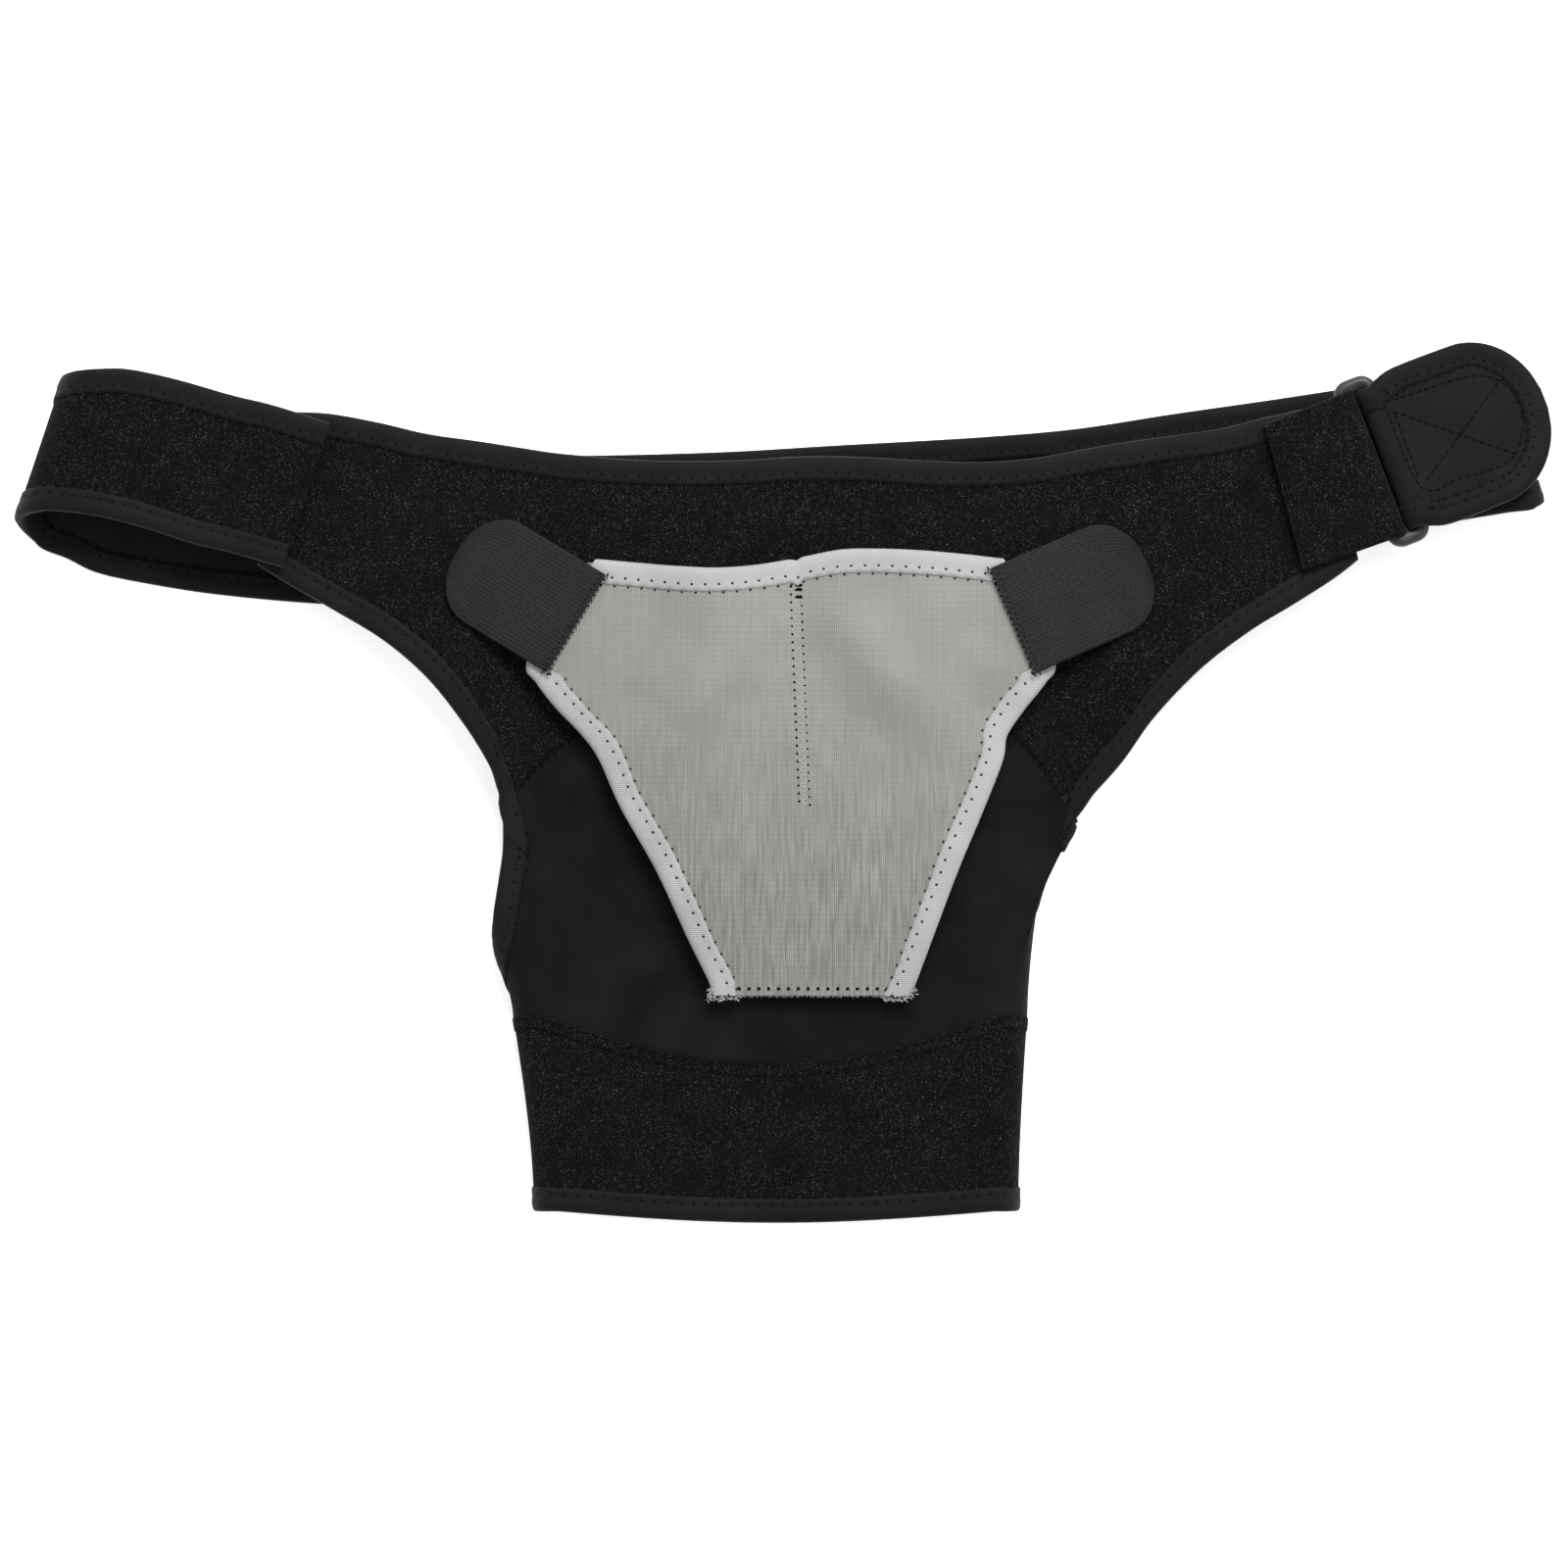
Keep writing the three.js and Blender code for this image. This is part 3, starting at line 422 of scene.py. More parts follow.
def makeLoopPile():
    # tangled loops: cells broken up by noise, as a height, a shade and a mask of painted glints
    group, given, out = newGroup(
        "loopPile",
        [("Loop Size", "NodeSocketFloat", 1100.0), ("Tangle", "NodeSocketFloat", 0.4)],
        [("Height", "NodeSocketFloat"), ("Shade", "NodeSocketFloat"), ("Sparkle", "NodeSocketFloat")],
    )
    place = node(group, "ShaderNodeTexCoord")
    bend = node(group, "ShaderNodeTexNoise", [(0, place.outputs["Object"])], in_2=700.0, in_3=3.0)
    push = node(group, "ShaderNodeVectorMath", [(0, bend.outputs["Color"])], operation="SCALE", in_3=0.0018)
    moved = node(group, "ShaderNodeVectorMath", [(0, place.outputs["Object"]), (1, push.outputs[0])], operation="ADD")
    cells = node(group, "ShaderNodeTexVoronoi", [(0, moved.outputs[0]), (2, given.outputs["Loop Size"])])
    fuzz = node(group, "ShaderNodeTexNoise", [(0, place.outputs["Object"])], in_2=2300.0, in_3=4.0)
    mixed = node(group, "ShaderNodeMix", [(0, given.outputs["Tangle"]), (2, cells.outputs["Distance"]),
                                          (3, fuzz.outputs["Fac"])])
    patches = node(group, "ShaderNodeTexNoise", [(0, place.outputs["Object"])], in_2=38.0, in_3=5.0)
    # painted glints: bright specks on some of the loops, picked by chance and in patches
    specks = node(group, "ShaderNodeTexVoronoi", [(0, moved.outputs[0])], in_2=2100.0, in_8=1.0)
    spark = node(group, "ShaderNodeMapRange", [(0, specks.outputs["Distance"])], in_1=0.42, in_2=0.14)
    lucky = node(group, "ShaderNodeSeparateColor", [(0, specks.outputs["Color"])])
    chosen = node(group, "ShaderNodeTexNoise", [(0, place.outputs["Object"])], in_2=95.0, in_3=3.0)
    where = node(group, "ShaderNodeMapRange", [(0, chosen.outputs["Fac"])], in_1=0.2, in_2=0.55)
    chance = node(group, "ShaderNodeMath", [(0, lucky.outputs[0])], operation="POWER", in_1=2.6)
    pick = node(group, "ShaderNodeMath", [(0, chance.outputs[0]), (1, where.outputs[0])], operation="MULTIPLY")
    sparkle = node(group, "ShaderNodeMath", [(0, spark.outputs[0]), (1, pick.outputs[0])], operation="MULTIPLY")
    group.links.new(mixed.outputs[0], out.inputs["Height"])
    group.links.new(patches.outputs["Fac"], out.inputs["Shade"])
    group.links.new(sparkle.outputs[0], out.inputs["Sparkle"])
    return group


def makeKnitRibs():
    # rows of knit along and across the cut, as a height and a shade
    group, given, out = newGroup(
        "knitRibs",
        [("Along", "NodeSocketFloat", 900.0), ("Across", "NodeSocketFloat", 900.0), ("Depth", "NodeSocketFloat", 0.5),
         ("Streak Along", "NodeSocketFloat", 60.0), ("Streak Across", "NodeSocketFloat", 700.0)],
        [("Height", "NodeSocketFloat"), ("Shade", "NodeSocketFloat"), ("Streaks", "NodeSocketFloat")],
    )
    place = node(group, "ShaderNodeUVMap", uv_map="cut")
    split = node(group, "ShaderNodeSeparateXYZ", [(0, place.outputs[0])])
    u = node(group, "ShaderNodeMath", [(0, split.outputs[0]), (1, given.outputs["Along"])], operation="MULTIPLY")
    v = node(group, "ShaderNodeMath", [(0, split.outputs[1]), (1, given.outputs["Across"])], operation="MULTIPLY")
    waveU = node(group, "ShaderNodeMath", [(0, u.outputs[0])], operation="SINE")
    waveV = node(group, "ShaderNodeMath", [(0, v.outputs[0])], operation="SINE")
    both = node(group, "ShaderNodeMath", [(0, waveU.outputs[0]), (1, waveV.outputs[0])], operation="ADD")
    deep = node(group, "ShaderNodeMath", [(0, both.outputs[0]), (1, given.outputs["Depth"])], operation="MULTIPLY")
    spot = node(group, "ShaderNodeTexCoord")
    patches = node(group, "ShaderNodeTexNoise", [(0, spot.outputs["Object"])], in_2=55.0, in_3=6.0)
    drawn = node(group, "ShaderNodeCombineXYZ")
    for index, name in enumerate(("Streak Along", "Streak Across")):
        scaled = node(group, "ShaderNodeMath", [(0, split.outputs[index]), (1, given.outputs[name])],
                      operation="MULTIPLY")
        group.links.new(scaled.outputs[0], drawn.inputs[index])
    streaks = node(group, "ShaderNodeTexNoise", [(0, drawn.outputs[0])], in_2=1.0, in_3=3.0)
    group.links.new(streaks.outputs["Fac"], out.inputs["Streaks"])
    group.links.new(deep.outputs[0], out.inputs["Height"])
    group.links.new(patches.outputs["Fac"], out.inputs["Shade"])
    return group


def makeLint():
    # stray fibres: thin streaks of stretched noise
    group, given, out = newGroup(
        "lintFibres",
        [("Amount", "NodeSocketFloat", 0.5)],
        [("Mask", "NodeSocketFloat")],
    )
    place = node(group, "ShaderNodeTexCoord")
    streak = node(group, "ShaderNodeTexNoise", [(0, place.outputs["Object"])], in_2=260.0, in_3=6.0)
    edge = node(group, "ShaderNodeMath", [(0, streak.outputs["Fac"])], operation="SUBTRACT", in_1=0.5)
    near = node(group, "ShaderNodeMath", [(0, edge.outputs[0])], operation="ABSOLUTE")
    line = node(group, "ShaderNodeMapRange", [(0, near.outputs[0])], in_1=0.012, in_2=0.0)
    where = node(group, "ShaderNodeTexNoise", [(0, place.outputs["Object"])], in_2=90.0, in_3=3.0)
    pick = node(group, "ShaderNodeMapRange", [(0, where.outputs["Fac"])], in_1=0.6, in_2=0.75)
    mask = node(group, "ShaderNodeMath", [(0, line.outputs[0]), (1, pick.outputs[0])], operation="MULTIPLY")
    scaled = node(group, "ShaderNodeMath", [(0, mask.outputs[0]), (1, given.outputs["Amount"])], operation="MULTIPLY")
    group.links.new(scaled.outputs[0], out.inputs["Mask"])
    return group


loopPileGroup = makeLoopPile()
knitRibsGroup = makeKnitRibs()
lintGroup = makeLint()


def useGroup(tree, group, **values):
    made = tree.nodes.new("ShaderNodeGroup")
    made.node_tree = group
    for key, value in values.items():
        made.inputs[key.replace("_", " ")].default_value = value
    return made


def newMaterial(name, roughness, sheen=0.0, specular=0.4):
    material = bpy.data.materials.new(name)
    material.use_nodes = True
    shader = material.node_tree.nodes["Principled BSDF"]
    shader.inputs["Roughness"].default_value = roughness
    shader.inputs["Sheen Weight"].default_value = sheen
    shader.inputs["Sheen Roughness"].default_value = 0.5
    shader.inputs["Specular IOR Level"].default_value = specular
    return material, material.node_tree, shader


def colourBlend(tree, factor, dark, light):
    mixed = tree.nodes.new("ShaderNodeMix")
    mixed.data_type = "RGBA"
    mixed.inputs[6].default_value = (*dark, 1.0)
    mixed.inputs[7].default_value = (*light, 1.0)
    tree.links.new(factor, mixed.inputs[0])
    return mixed


def layColour(tree, base, mask, colour):
    mixed = tree.nodes.new("ShaderNodeMix")
    mixed.data_type = "RGBA"
    tree.links.new(base, mixed.inputs[6])
    mixed.inputs[7].default_value = (*colour, 1.0)
    tree.links.new(mask, mixed.inputs[0])
    return mixed


def addBump(tree, shader, height, distance, strength=1.0):
    bump = tree.nodes.new("ShaderNodeBump")
    bump.inputs["Strength"].default_value = strength
    bump.inputs["Distance"].default_value = distance
    tree.links.new(height, bump.inputs["Height"])
    tree.links.new(bump.outputs[0], shader.inputs["Normal"])


def stretchRange(tree, source, low, high, toLow=0.0, toHigh=1.0):
    ranged = node(tree, "ShaderNodeMapRange", [(0, source)], in_1=low, in_2=high, in_3=toLow, in_4=toHigh)
    return ranged.outputs[0]


def loopPileMaterial(name, dark, light, spark):
    material, tree, shader = newMaterial(name, 0.95, sheen=0.02, specular=0.035)
    pile = useGroup(tree, loopPileGroup, Loop_Size=1150.0, Tangle=0.45)
    fibres = useGroup(tree, lintGroup, Amount=0.25)
    shade = stretchRange(tree, pile.outputs["Shade"], 0.35, 0.65)
    # the loop tops are painted lighter: a painted highlight where the light catches the loops
    tops = stretchRange(tree, pile.outputs["Height"], 0.25, 0.75)
    cloth = colourBlend(tree, shade, dark, light)
    lit = layColour(tree, cloth.outputs[2], tops, tuple(1.5 * c for c in light))
    # the pile's painted glints are laid over the cloth colour here
    paintedGlints = layColour(tree, lit.outputs[2], pile.outputs["Sparkle"], spark)
    linted = layColour(tree, paintedGlints.outputs[2], fibres.outputs["Mask"], (0.06, 0.06, 0.06))
    tree.links.new(linted.outputs[2], shader.inputs["Base Color"])
    addBump(tree, shader, pile.outputs["Height"], 0.0006, 0.9)
    return material


def knitMaterial(name, dark, light, along, across, depth, roughness, lint, sheen=0.02, specular=0.07, bump=0.0002,
                 streak=0.0, streakAlong=60.0, streakAcross=700.0, ribShade=0.4, paintedShadeRamp=None):
    material, tree, shader = newMaterial(name, roughness, sheen=sheen, specular=specular)
    ribs = useGroup(tree, knitRibsGroup, Along=along, Across=across, Depth=depth, Streak_Along=streakAlong,
                 Streak_Across=streakAcross)
    fibres = useGroup(tree, lintGroup, Amount=lint)
    shade = stretchRange(tree, ribs.outputs["Shade"], 0.3, 0.7)
    cloth = colourBlend(tree, shade, dark, light)
    # the knit's rib valleys are painted darker, by up to ribShade: painted shade in the grooves
    rows = stretchRange(tree, ribs.outputs["Height"], 1.0, -1.0, 0.0, ribShade)
    grooveShaded = layColour(tree, cloth.outputs[2], rows, tuple(0.5 * c for c in dark))
    drawn = stretchRange(tree, ribs.outputs["Streaks"], 0.62, 0.34, 0.0, streak)
    # the streaks grow towards the pad's lower edge and paint that part darker: painted shade
    if paintedShadeRamp:    # streaks that grow along the cut
        cut = node(tree, "ShaderNodeUVMap", uv_map="cut")
        split = node(tree, "ShaderNodeSeparateXYZ", [(0, cut.outputs[0])])
        share = stretchRange(tree, split.outputs[0], *paintedShadeRamp)
        drawn = node(tree, "ShaderNodeMath", [(0, drawn), (1, share)], operation="MULTIPLY").outputs[0]
    streaked = layColour(tree, grooveShaded.outputs[2], drawn, tuple(0.62 * c for c in dark))
    pale = tuple(min(1.0, 2.0 * c + 0.03) for c in light)
    linted = layColour(tree, streaked.outputs[2], fibres.outputs["Mask"], pale)
    tree.links.new(linted.outputs[2], shader.inputs["Base Color"])
    addBump(tree, shader, ribs.outputs["Height"], bump)
    return material


def plasticMaterial():
    material, tree, shader = newMaterial("ringPlastic", 0.4, specular=0.3)
    spot = node(tree, "ShaderNodeTexCoord")
    grain = node(tree, "ShaderNodeTexNoise", [(0, spot.outputs["Object"])], in_2=240.0, in_3=5.0)
    cloth = colourBlend(tree, grain.outputs["Fac"], (0.016, 0.016, 0.0155), (0.03, 0.03, 0.029))
    tree.links.new(cloth.outputs[2], shader.inputs["Base Color"])
    tree.links.new(stretchRange(tree, grain.outputs["Fac"], 0.3, 0.7, 0.34, 0.5), shader.inputs["Roughness"])
    addBump(tree, shader, grain.outputs["Fac"], 0.00005)
    return material


def threadMaterial(name, colour):
    material, tree, shader = newMaterial(name, 0.8, specular=0.04)
    spot = node(tree, "ShaderNodeTexCoord")
    twist = node(tree, "ShaderNodeTexNoise", [(0, spot.outputs["Object"])], in_2=1800.0, in_3=3.0)
    cloth = colourBlend(tree, twist.outputs["Fac"], tuple(0.6 * c for c in colour), tuple(1.3 * c for c in colour))
    tree.links.new(cloth.outputs[2], shader.inputs["Base Color"])
    addBump(tree, shader, twist.outputs["Fac"], 0.0001)
    return material


# dark and light colour, and for the loop pile the colour of its painted glints; then for the knits their ribs along
# and across, depth, roughness and lint
loopPile = loopPileMaterial("loopPileCloth", (0.0014, 0.0014, 0.0015), (0.0028, 0.0028, 0.0028), (0.1, 0.1, 0.1))
smoothJersey = knitMaterial("smoothJersey", (0.003, 0.003, 0.0029), (0.0078, 0.0078, 0.0076), 9000, 9000, 0.15, 0.8,
                            0.06, streak=0.1)
edgeTape = knitMaterial("edgeTape", (0.0048, 0.0048, 0.0046), (0.0075, 0.0075, 0.0072), 7800, 260, 0.5, 0.6, 0.1,
                        sheen=0.025, specular=0.075, bump=0.0001)
strapLining = knitMaterial("strapLining", (0.0068, 0.0068, 0.0066), (0.0105, 0.0105, 0.0103), 9000, 9000, 0.15, 0.8,
                           0.06, streak=0.15)
# the grey jersey's streaks grow towards the pad's lower edge, painting it darker there: painted shade
greyJersey = knitMaterial("greyJersey", (0.335, 0.327, 0.309), (0.408, 0.4, 0.376), 15000, 8300, 0.5, 0.85, 0.06,
                          streak=1.0, streakAlong=70.0, streakAcross=900.0, ribShade=0.7,
                          paintedShadeRamp=(0.04, -0.035, 0.15, 1.0))
paleTape = knitMaterial("paleTape", (0.3, 0.306, 0.297), (0.36, 0.367, 0.356), 7800, 260, 0.5, 0.5, 0.02, sheen=0.1,
                        bump=0.0001)
hookFabric = knitMaterial("hookTapeBack", (0.019, 0.019, 0.0186), (0.026, 0.026, 0.0254), 5200, 5200, 0.5, 0.85, 0.1,
                          streak=0.9, streakAlong=1100.0, streakAcross=900.0)
ringPlastic = plasticMaterial()
blackThread = threadMaterial("blackThread", (0.0035, 0.0035, 0.0035))
greyThread = threadMaterial("greyThread", (0.008, 0.008, 0.0077))
paleThread = threadMaterial("paleThread", (0.38, 0.384, 0.372))
padThread = threadMaterial("padThread", (0.36, 0.353, 0.335))
# needle holes: painted shade of the holes, near black on the dark cloth and dark grey on the pale tape
needleDark = threadMaterial("needleHoleShade", (0.0022, 0.0022, 0.0022))
holeShadeGrey = threadMaterial("needleHoleShadeGrey", (0.026, 0.025, 0.024))
print("materials ready")


# yoke
# each row: upper edge x, y, z, then lower edge x, y, z
yoke = {
    "left": [
        (-0.324, 0.424, 1.06, -0.343, 0.25, 1.06), (-0.296, 0.422, 1.05, -0.321, 0.226, 1.05),
        (-0.264, 0.412, 1.03, -0.292, 0.197, 1.04), (-0.232, 0.399, 1.02, -0.26, 0.163, 1.03),
        (-0.2, 0.391, 1.01, -0.232, 0.121, 1.02), (-0.174, 0.384, 1.0, -0.209, 0.071, 1.0),
        (-0.152, 0.378, 1.0, -0.192, 0.023, 0.97)],
    "bridge": [
        (-0.136, 0.375, 1.0, -0.181, -0.02, 0.95), (-0.117, 0.372, 1.0, -0.159, 0.02, 1.01),
        (-0.094, 0.369, 1.0, -0.129, 0.062, 1.07), (-0.065, 0.368, 1.0, -0.088, 0.103, 1.12),
        (-0.027, 0.369, 1.0, -0.04, 0.132, 1.15), (0.008, 0.373, 1.0, 0.008, 0.144, 1.16),
        (0.046, 0.373, 1.0, 0.056, 0.132, 1.15), (0.085, 0.369, 0.99, 0.106, 0.103, 1.12),
        (0.117, 0.367, 0.98, 0.145, 0.059, 1.07), (0.142, 0.368, 0.98, 0.168, 0.016, 1.01),
        (0.165, 0.372, 0.97, 0.187, -0.037, 0.8)],
    "right": [
        (0.187, 0.379, 0.96, 0.203, -0.008, 0.84), (0.209, 0.386, 0.95, 0.221, 0.028, 0.96),
        (0.235, 0.393, 0.94, 0.241, 0.077, 0.95), (0.26, 0.399, 0.92, 0.27, 0.13, 0.93),
        (0.286, 0.406, 0.9, 0.302, 0.173, 0.91), (0.311, 0.417, 0.89, 0.331, 0.204, 0.89),
        (0.334, 0.426, 0.88, 0.357, 0.233, 0.88), (0.348, 0.431, 0.88, 0.374, 0.256, 0.88)],
    "steps": 8,
    "across": 14,
    "ripple": 0.0005,
    "seam": 0.0001,
}


def inset(a, b, distance):
    return a + unit(b - a) * distance


def yokeGrid():
    rows = yoke["left"] + yoke["bridge"] + yoke["right"]
    first, last = len(yoke["left"]), len(yoke["left"]) + len(yoke["bridge"]) - 1
    lines = []
    for k, (tx, ty, tz, lx, ly, lz) in enumerate(rows):
        top, low = plan(tx, ty, tz * layout["height"]), plan(lx, ly, lz * layout["height"])
        seam = first < k < last
        start = inset(top, low, layout["overhang"])
        end = inset(low, top, yoke["seam"] if seam else layout["overhang"])
        lines.append([start + (end - start) * s for s in (0, 1 / 3, 2 / 3, 1)])
    grid = smoothGrid(lines, yoke["steps"], yoke["across"])
    fade = np.sin(np.linspace(0, math.pi, grid.shape[1])) ** 0.5
    grid[..., 2] += ripple(grid, 0.035, yoke["ripple"], 1) * fade[None]
    return grid[:, ::-1], first * yoke["steps"], last * yoke["steps"]    # lower edge first, so that the outside is up


loopCloth = layout["wall"]
yokeSheet, leftCorner, rightCorner = yokeGrid()
yokeSkin = skin("yokeCloth", wallSections(yokeSheet, loopCloth), loopPile, lining=smoothJersey)
finishPiece(yokeSkin, "loop_pile", "yoke")


# tape folded over one edge of a sheet, with its seams on both sides
def bindEdge(name, grid, lastEdge, thickness, nodes, seed, start=0, stop=None, closed=False, cloth=edgeTape,
             thread=greyThread, hole=needleDark, holeSize=stitch["holeSize"], slot="edge_tape"):
    sections, seams, loop = tapeSections(grid, lastEdge, thickness, start, stop, closed, seed)
    piece = skin(name, sections, cloth, loop)
    finishPiece(piece, slot, *nodes)
    for side, crests, valleys in (("Zigzag", *seams[:2]), ("BackZigzag", *seams[2:])):
        sewZigzag(name + side, crests, valleys, thread, hole, holeSize, slot=slot)
    return piece


bindEdge("yokeTopTape", yokeSheet, True, loopCloth, ["yoke_binding_top"], 1)
bindEdge("yokeLeftTape", yokeSheet, False, loopCloth, ["yoke_binding_left"], 2, 0, leftCorner + 1)
bindEdge("yokeRightTape", yokeSheet, False, loopCloth, ["yoke_binding_right"], 3, rightCorner, len(yokeSheet))
print("yoke ready")


# sleeve and cuff
arm = {
    "right": [(0.1745, -0.053, 0.5), (0.168, -0.065, 0.24), (0.161, -0.078, 0.06), (0.151, -0.087, 0.0)],
    "back": [(0.139, -0.098, 0.0), (0.088, -0.128, 0.0), (0.024, -0.161, 0.0), (-0.04, -0.195, 0.0),
             (-0.104, -0.22, 0.0), (-0.163, -0.226, 0.0)],
    "left": [(-0.181, -0.207, 0.3), (-0.187, -0.176, 0.6), (-0.186, -0.137, 0.8), (-0.181, -0.078, 0.8)],
    "seamRing": (-0.174, 0.156, -0.263, 0.054, -0.268),    # left, right, side y, sag, back y
    "hemRing": (-0.16, 0.15, -0.487, 0.012, -0.489),
    "bend": 0.0075,
    "crown": 0.005,
    "dome": 0.004,
    "floor": 0.0028,
    "cornerShare": 0.4,
    "ripple": 0.0006,
    "steps": 5,
}
frontCells = len(yoke["bridge"]) - 1
rimDensity = 2
rightCells = rimDensity * len(arm["right"])
backCells = rimDensity * len(arm["back"])
leftCells = rimDensity * (len(arm["left"]) + 1)
foldCells = leftCells // 2


def flatRing(key, lift=0.0):
    left, right, sideY, sag, backY = arm[key]
    bend = arm["bend"]
    low, high = plan(left, 0)[0] + bend, plan(right, 0)[0] - bend
    side, back = plan(0, sideY)[1] + lift, plan(0, backY)[1] + lift
    middle = arm["floor"] + bend

    def frontPoint(s):
        arch = math.sin(math.pi * s)
        return (low + (high - low) * s, side - sag * layout["drop"] * arch, middle + bend + arm["crown"] * arch)

    def foldPoint(x, angle):
        y = back + (side - back) * (1 + math.sin(angle)) / 2
        return (x + bend * math.cos(angle), y, middle + bend * math.sin(angle))

    corner, rest = arm["cornerShare"], leftCells - foldCells
    points = [frontPoint(corner + (1 - corner) * i / frontCells) for i in range(frontCells + 1)]
    points += [foldPoint(high, math.pi * (0.5 - i / rightCells)) for i in range(1, rightCells + 1)]
    points += [(high + (low - high) * i / backCells, back, arm["floor"]) for i in range(1, backCells + 1)]
    points += [foldPoint(low, math.pi * (1.5 - i / foldCells)) for i in range(1, foldCells + 1)]
    points += [frontPoint(corner * i / rest) for i in range(1, rest)]
    return np.array(points)


def armholeRing():
    front = []
    for k, (_, _, _, x, y, z) in enumerate(yoke["bridge"]):
        gap = 0.0021 if k in (0, frontCells) else 0.0002
        front.append(plan(x, y, z * layout["height"]) - np.array([0, gap, 0]))
    rim = [plan(x, y, arm["floor"] + z * layout["height"]) for x, y, z in arm["right"] + arm["back"] + arm["left"]]
    hidden = smoothRows([front[-1], *rim, front[0]], rimDensity)[1:-1]
    hidden[:, 2] = np.maximum(hidden[:, 2], arm["floor"])
    return np.vstack([front, hidden])


def slant(edges, i, out):
    tangent = unit(edges[(i + 1) % len(edges)] - edges[i - 1])
    return max(np.linalg.norm(np.cross(tangent, unit(out))), 0.75)


def ringSheet(start, end, steps, bulge, across):
    grid = []
    for i, (a, b) in enumerate(zip(start, end)):
        length = np.linalg.norm(b - a)
        taped = layout["tapeReach"] / slant(end, i, b - a) / length
        line = []
        for j in range(steps + 1):
            v = 1.0 if j == steps else (1 - taped) * j / (steps - 1)
            point = a + (b - a) * v
            point[0] = a[0] + (b[0] - a[0]) * v ** 1.5
            if i < frontCells:
                point[2] += bulge * math.sin(math.pi * v) * math.sin(math.pi * i / frontCells)
            line.append(point)
        grid.append(line)
    return smoothGrid(grid, arm["steps"], across, True)


sleeveSheet = ringSheet(flatRing("seamRing", 0.0001), armholeRing(), 7, arm["dome"], 5)
cuffSheet = ringSheet(flatRing("hemRing", layout["overhang"]), flatRing("seamRing", -0.0001), 4, 0.0, 6)
for sheet, seed in ((sleeveSheet, 2), (cuffSheet, 3)):
    sheet[..., 2] += np.where(sheet[..., 2] > 0.012, ripple(sheet, 0.03, arm["ripple"], seed), 0.0)
sleeveSkin = skin("sleeveCloth", wallSections(sleeveSheet, loopCloth, True), smoothJersey, True)
finishPiece(sleeveSkin, "smooth_jersey", "sleeve")
cuffSkin = skin("cuffCloth", wallSections(cuffSheet, loopCloth, True), loopPile, True, smoothJersey)
finishPiece(cuffSkin, "loop_pile", "arm_cuff")
sleeveFrontEnd = frontCells * arm["steps"]    # the sleeve's station at the arch's right end
bindEdge("armholeTape", sleeveSheet, True, loopCloth, ["armhole_binding"], 4, sleeveFrontEnd, len(sleeveSheet) + 1)

# a short lap of tape over each corner, where the yoke's tape meets the armhole's
cornerLap = {
    "width": 0.0115,
    "onYoke": (0.009, 0.006, 0.003),        # distances from the corner, along each edge
    "onSleeve": (0.0035, 0.0065, 0.0095),
    "raise": 0.0006,
}


# a sheet's column, from its edge inwards, at a distance along that edge
def columnFrom(sheet, row, step, distance, lastEdge):
    run = 0.0
    edge = -1 if lastEdge else 0
    while run < distance:
        ahead = row + step
        run += np.linalg.norm(sheet[ahead % len(sheet), edge] - sheet[row % len(sheet), edge])
        row = ahead
    column = sheet[row % len(sheet)]
    return column[::-1] if lastEdge else column


def addCornerLap(name, yokeRow, sleeveRow, step, seed):
    columns = [columnFrom(yokeSheet, yokeRow, step, distance, False) for distance in cornerLap["onYoke"]]
    columns += [columnFrom(sleeveSheet, sleeveRow, step, distance, True) for distance in cornerLap["onSleeve"]]
    spots = np.linspace(0, cornerLap["width"], 10)
    lines = [sample(column, runAlong(column), spots) for column in columns]
    bindEdge(name, smoothGrid(lines, 3, 1), False, loopCloth + cornerLap["raise"], [], seed)


addCornerLap("leftCornerLap", leftCorner, 0, -1, 21)
addCornerLap("rightCornerLap", rightCorner, sleeveFrontEnd, 1, 22)
bindEdge("hemTape", cuffSheet, False, loopCloth, ["cuff_binding"], 5, closed=True)
print("sleeve and cuff ready")


# chest strap, ring and tab
strap = {
    "thickness": 0.0026,
    "width": 0.057,
    "leftBend": 0.011,
    "leftAdvance": 0.014,
    "rightBend": 0.0044,
    "rightAdvance": 0.002,
    "floor": 0.0026,
    "seamHeight": 0.02306,
    # x, y, lean in degrees, width as a share, lift
    "front": [(-0.31, 0.328, 18, 0.95, 0.02), (-0.346, 0.347, 17, 0.96, 0.12), (-0.372, 0.358, 15.5, 0.96, 0.38),
              (-0.406, 0.376, 13, 0.95, 0.75), (-0.436, 0.388, 13, 0.94, 0.95)],
    "back": [(-0.455, 0.34, 16, 0.94), (-0.438, 0.326, 13, 0.95), (-0.41, 0.316, 10, 0.96), (-0.367, 0.304, 6, 0.96),
             (-0.306, 0.294, 3, 0.96), (-0.244, 0.29, 1, 0.96), (-0.18, 0.289, -1, 0.96), (-0.117, 0.288, -2, 0.97),
             (-0.037, 0.291, -3, 0.98), (0.041, 0.299, -5, 0.98), (0.131, 0.308, -6, 0.98), (0.197, 0.319, -8, 0.97),
             (0.261, 0.337, -8, 0.96), (0.325, 0.354, -8, 0.95), (0.385, 0.371, -10, 0.94), (0.438, 0.387, -13, 0.93)],
    "leftTurn": (-0.46, 0.391, 18.5, 0.935),
    "rightTurn": (0.472, 0.4, -16, 0.93),
    "return": [(0.459, 0.391, -16.5, 0.93), (0.44, 0.3855, -17, 0.93), (0.421, 0.38, -18, 0.93)],
    "ripple": 0.0004,
}
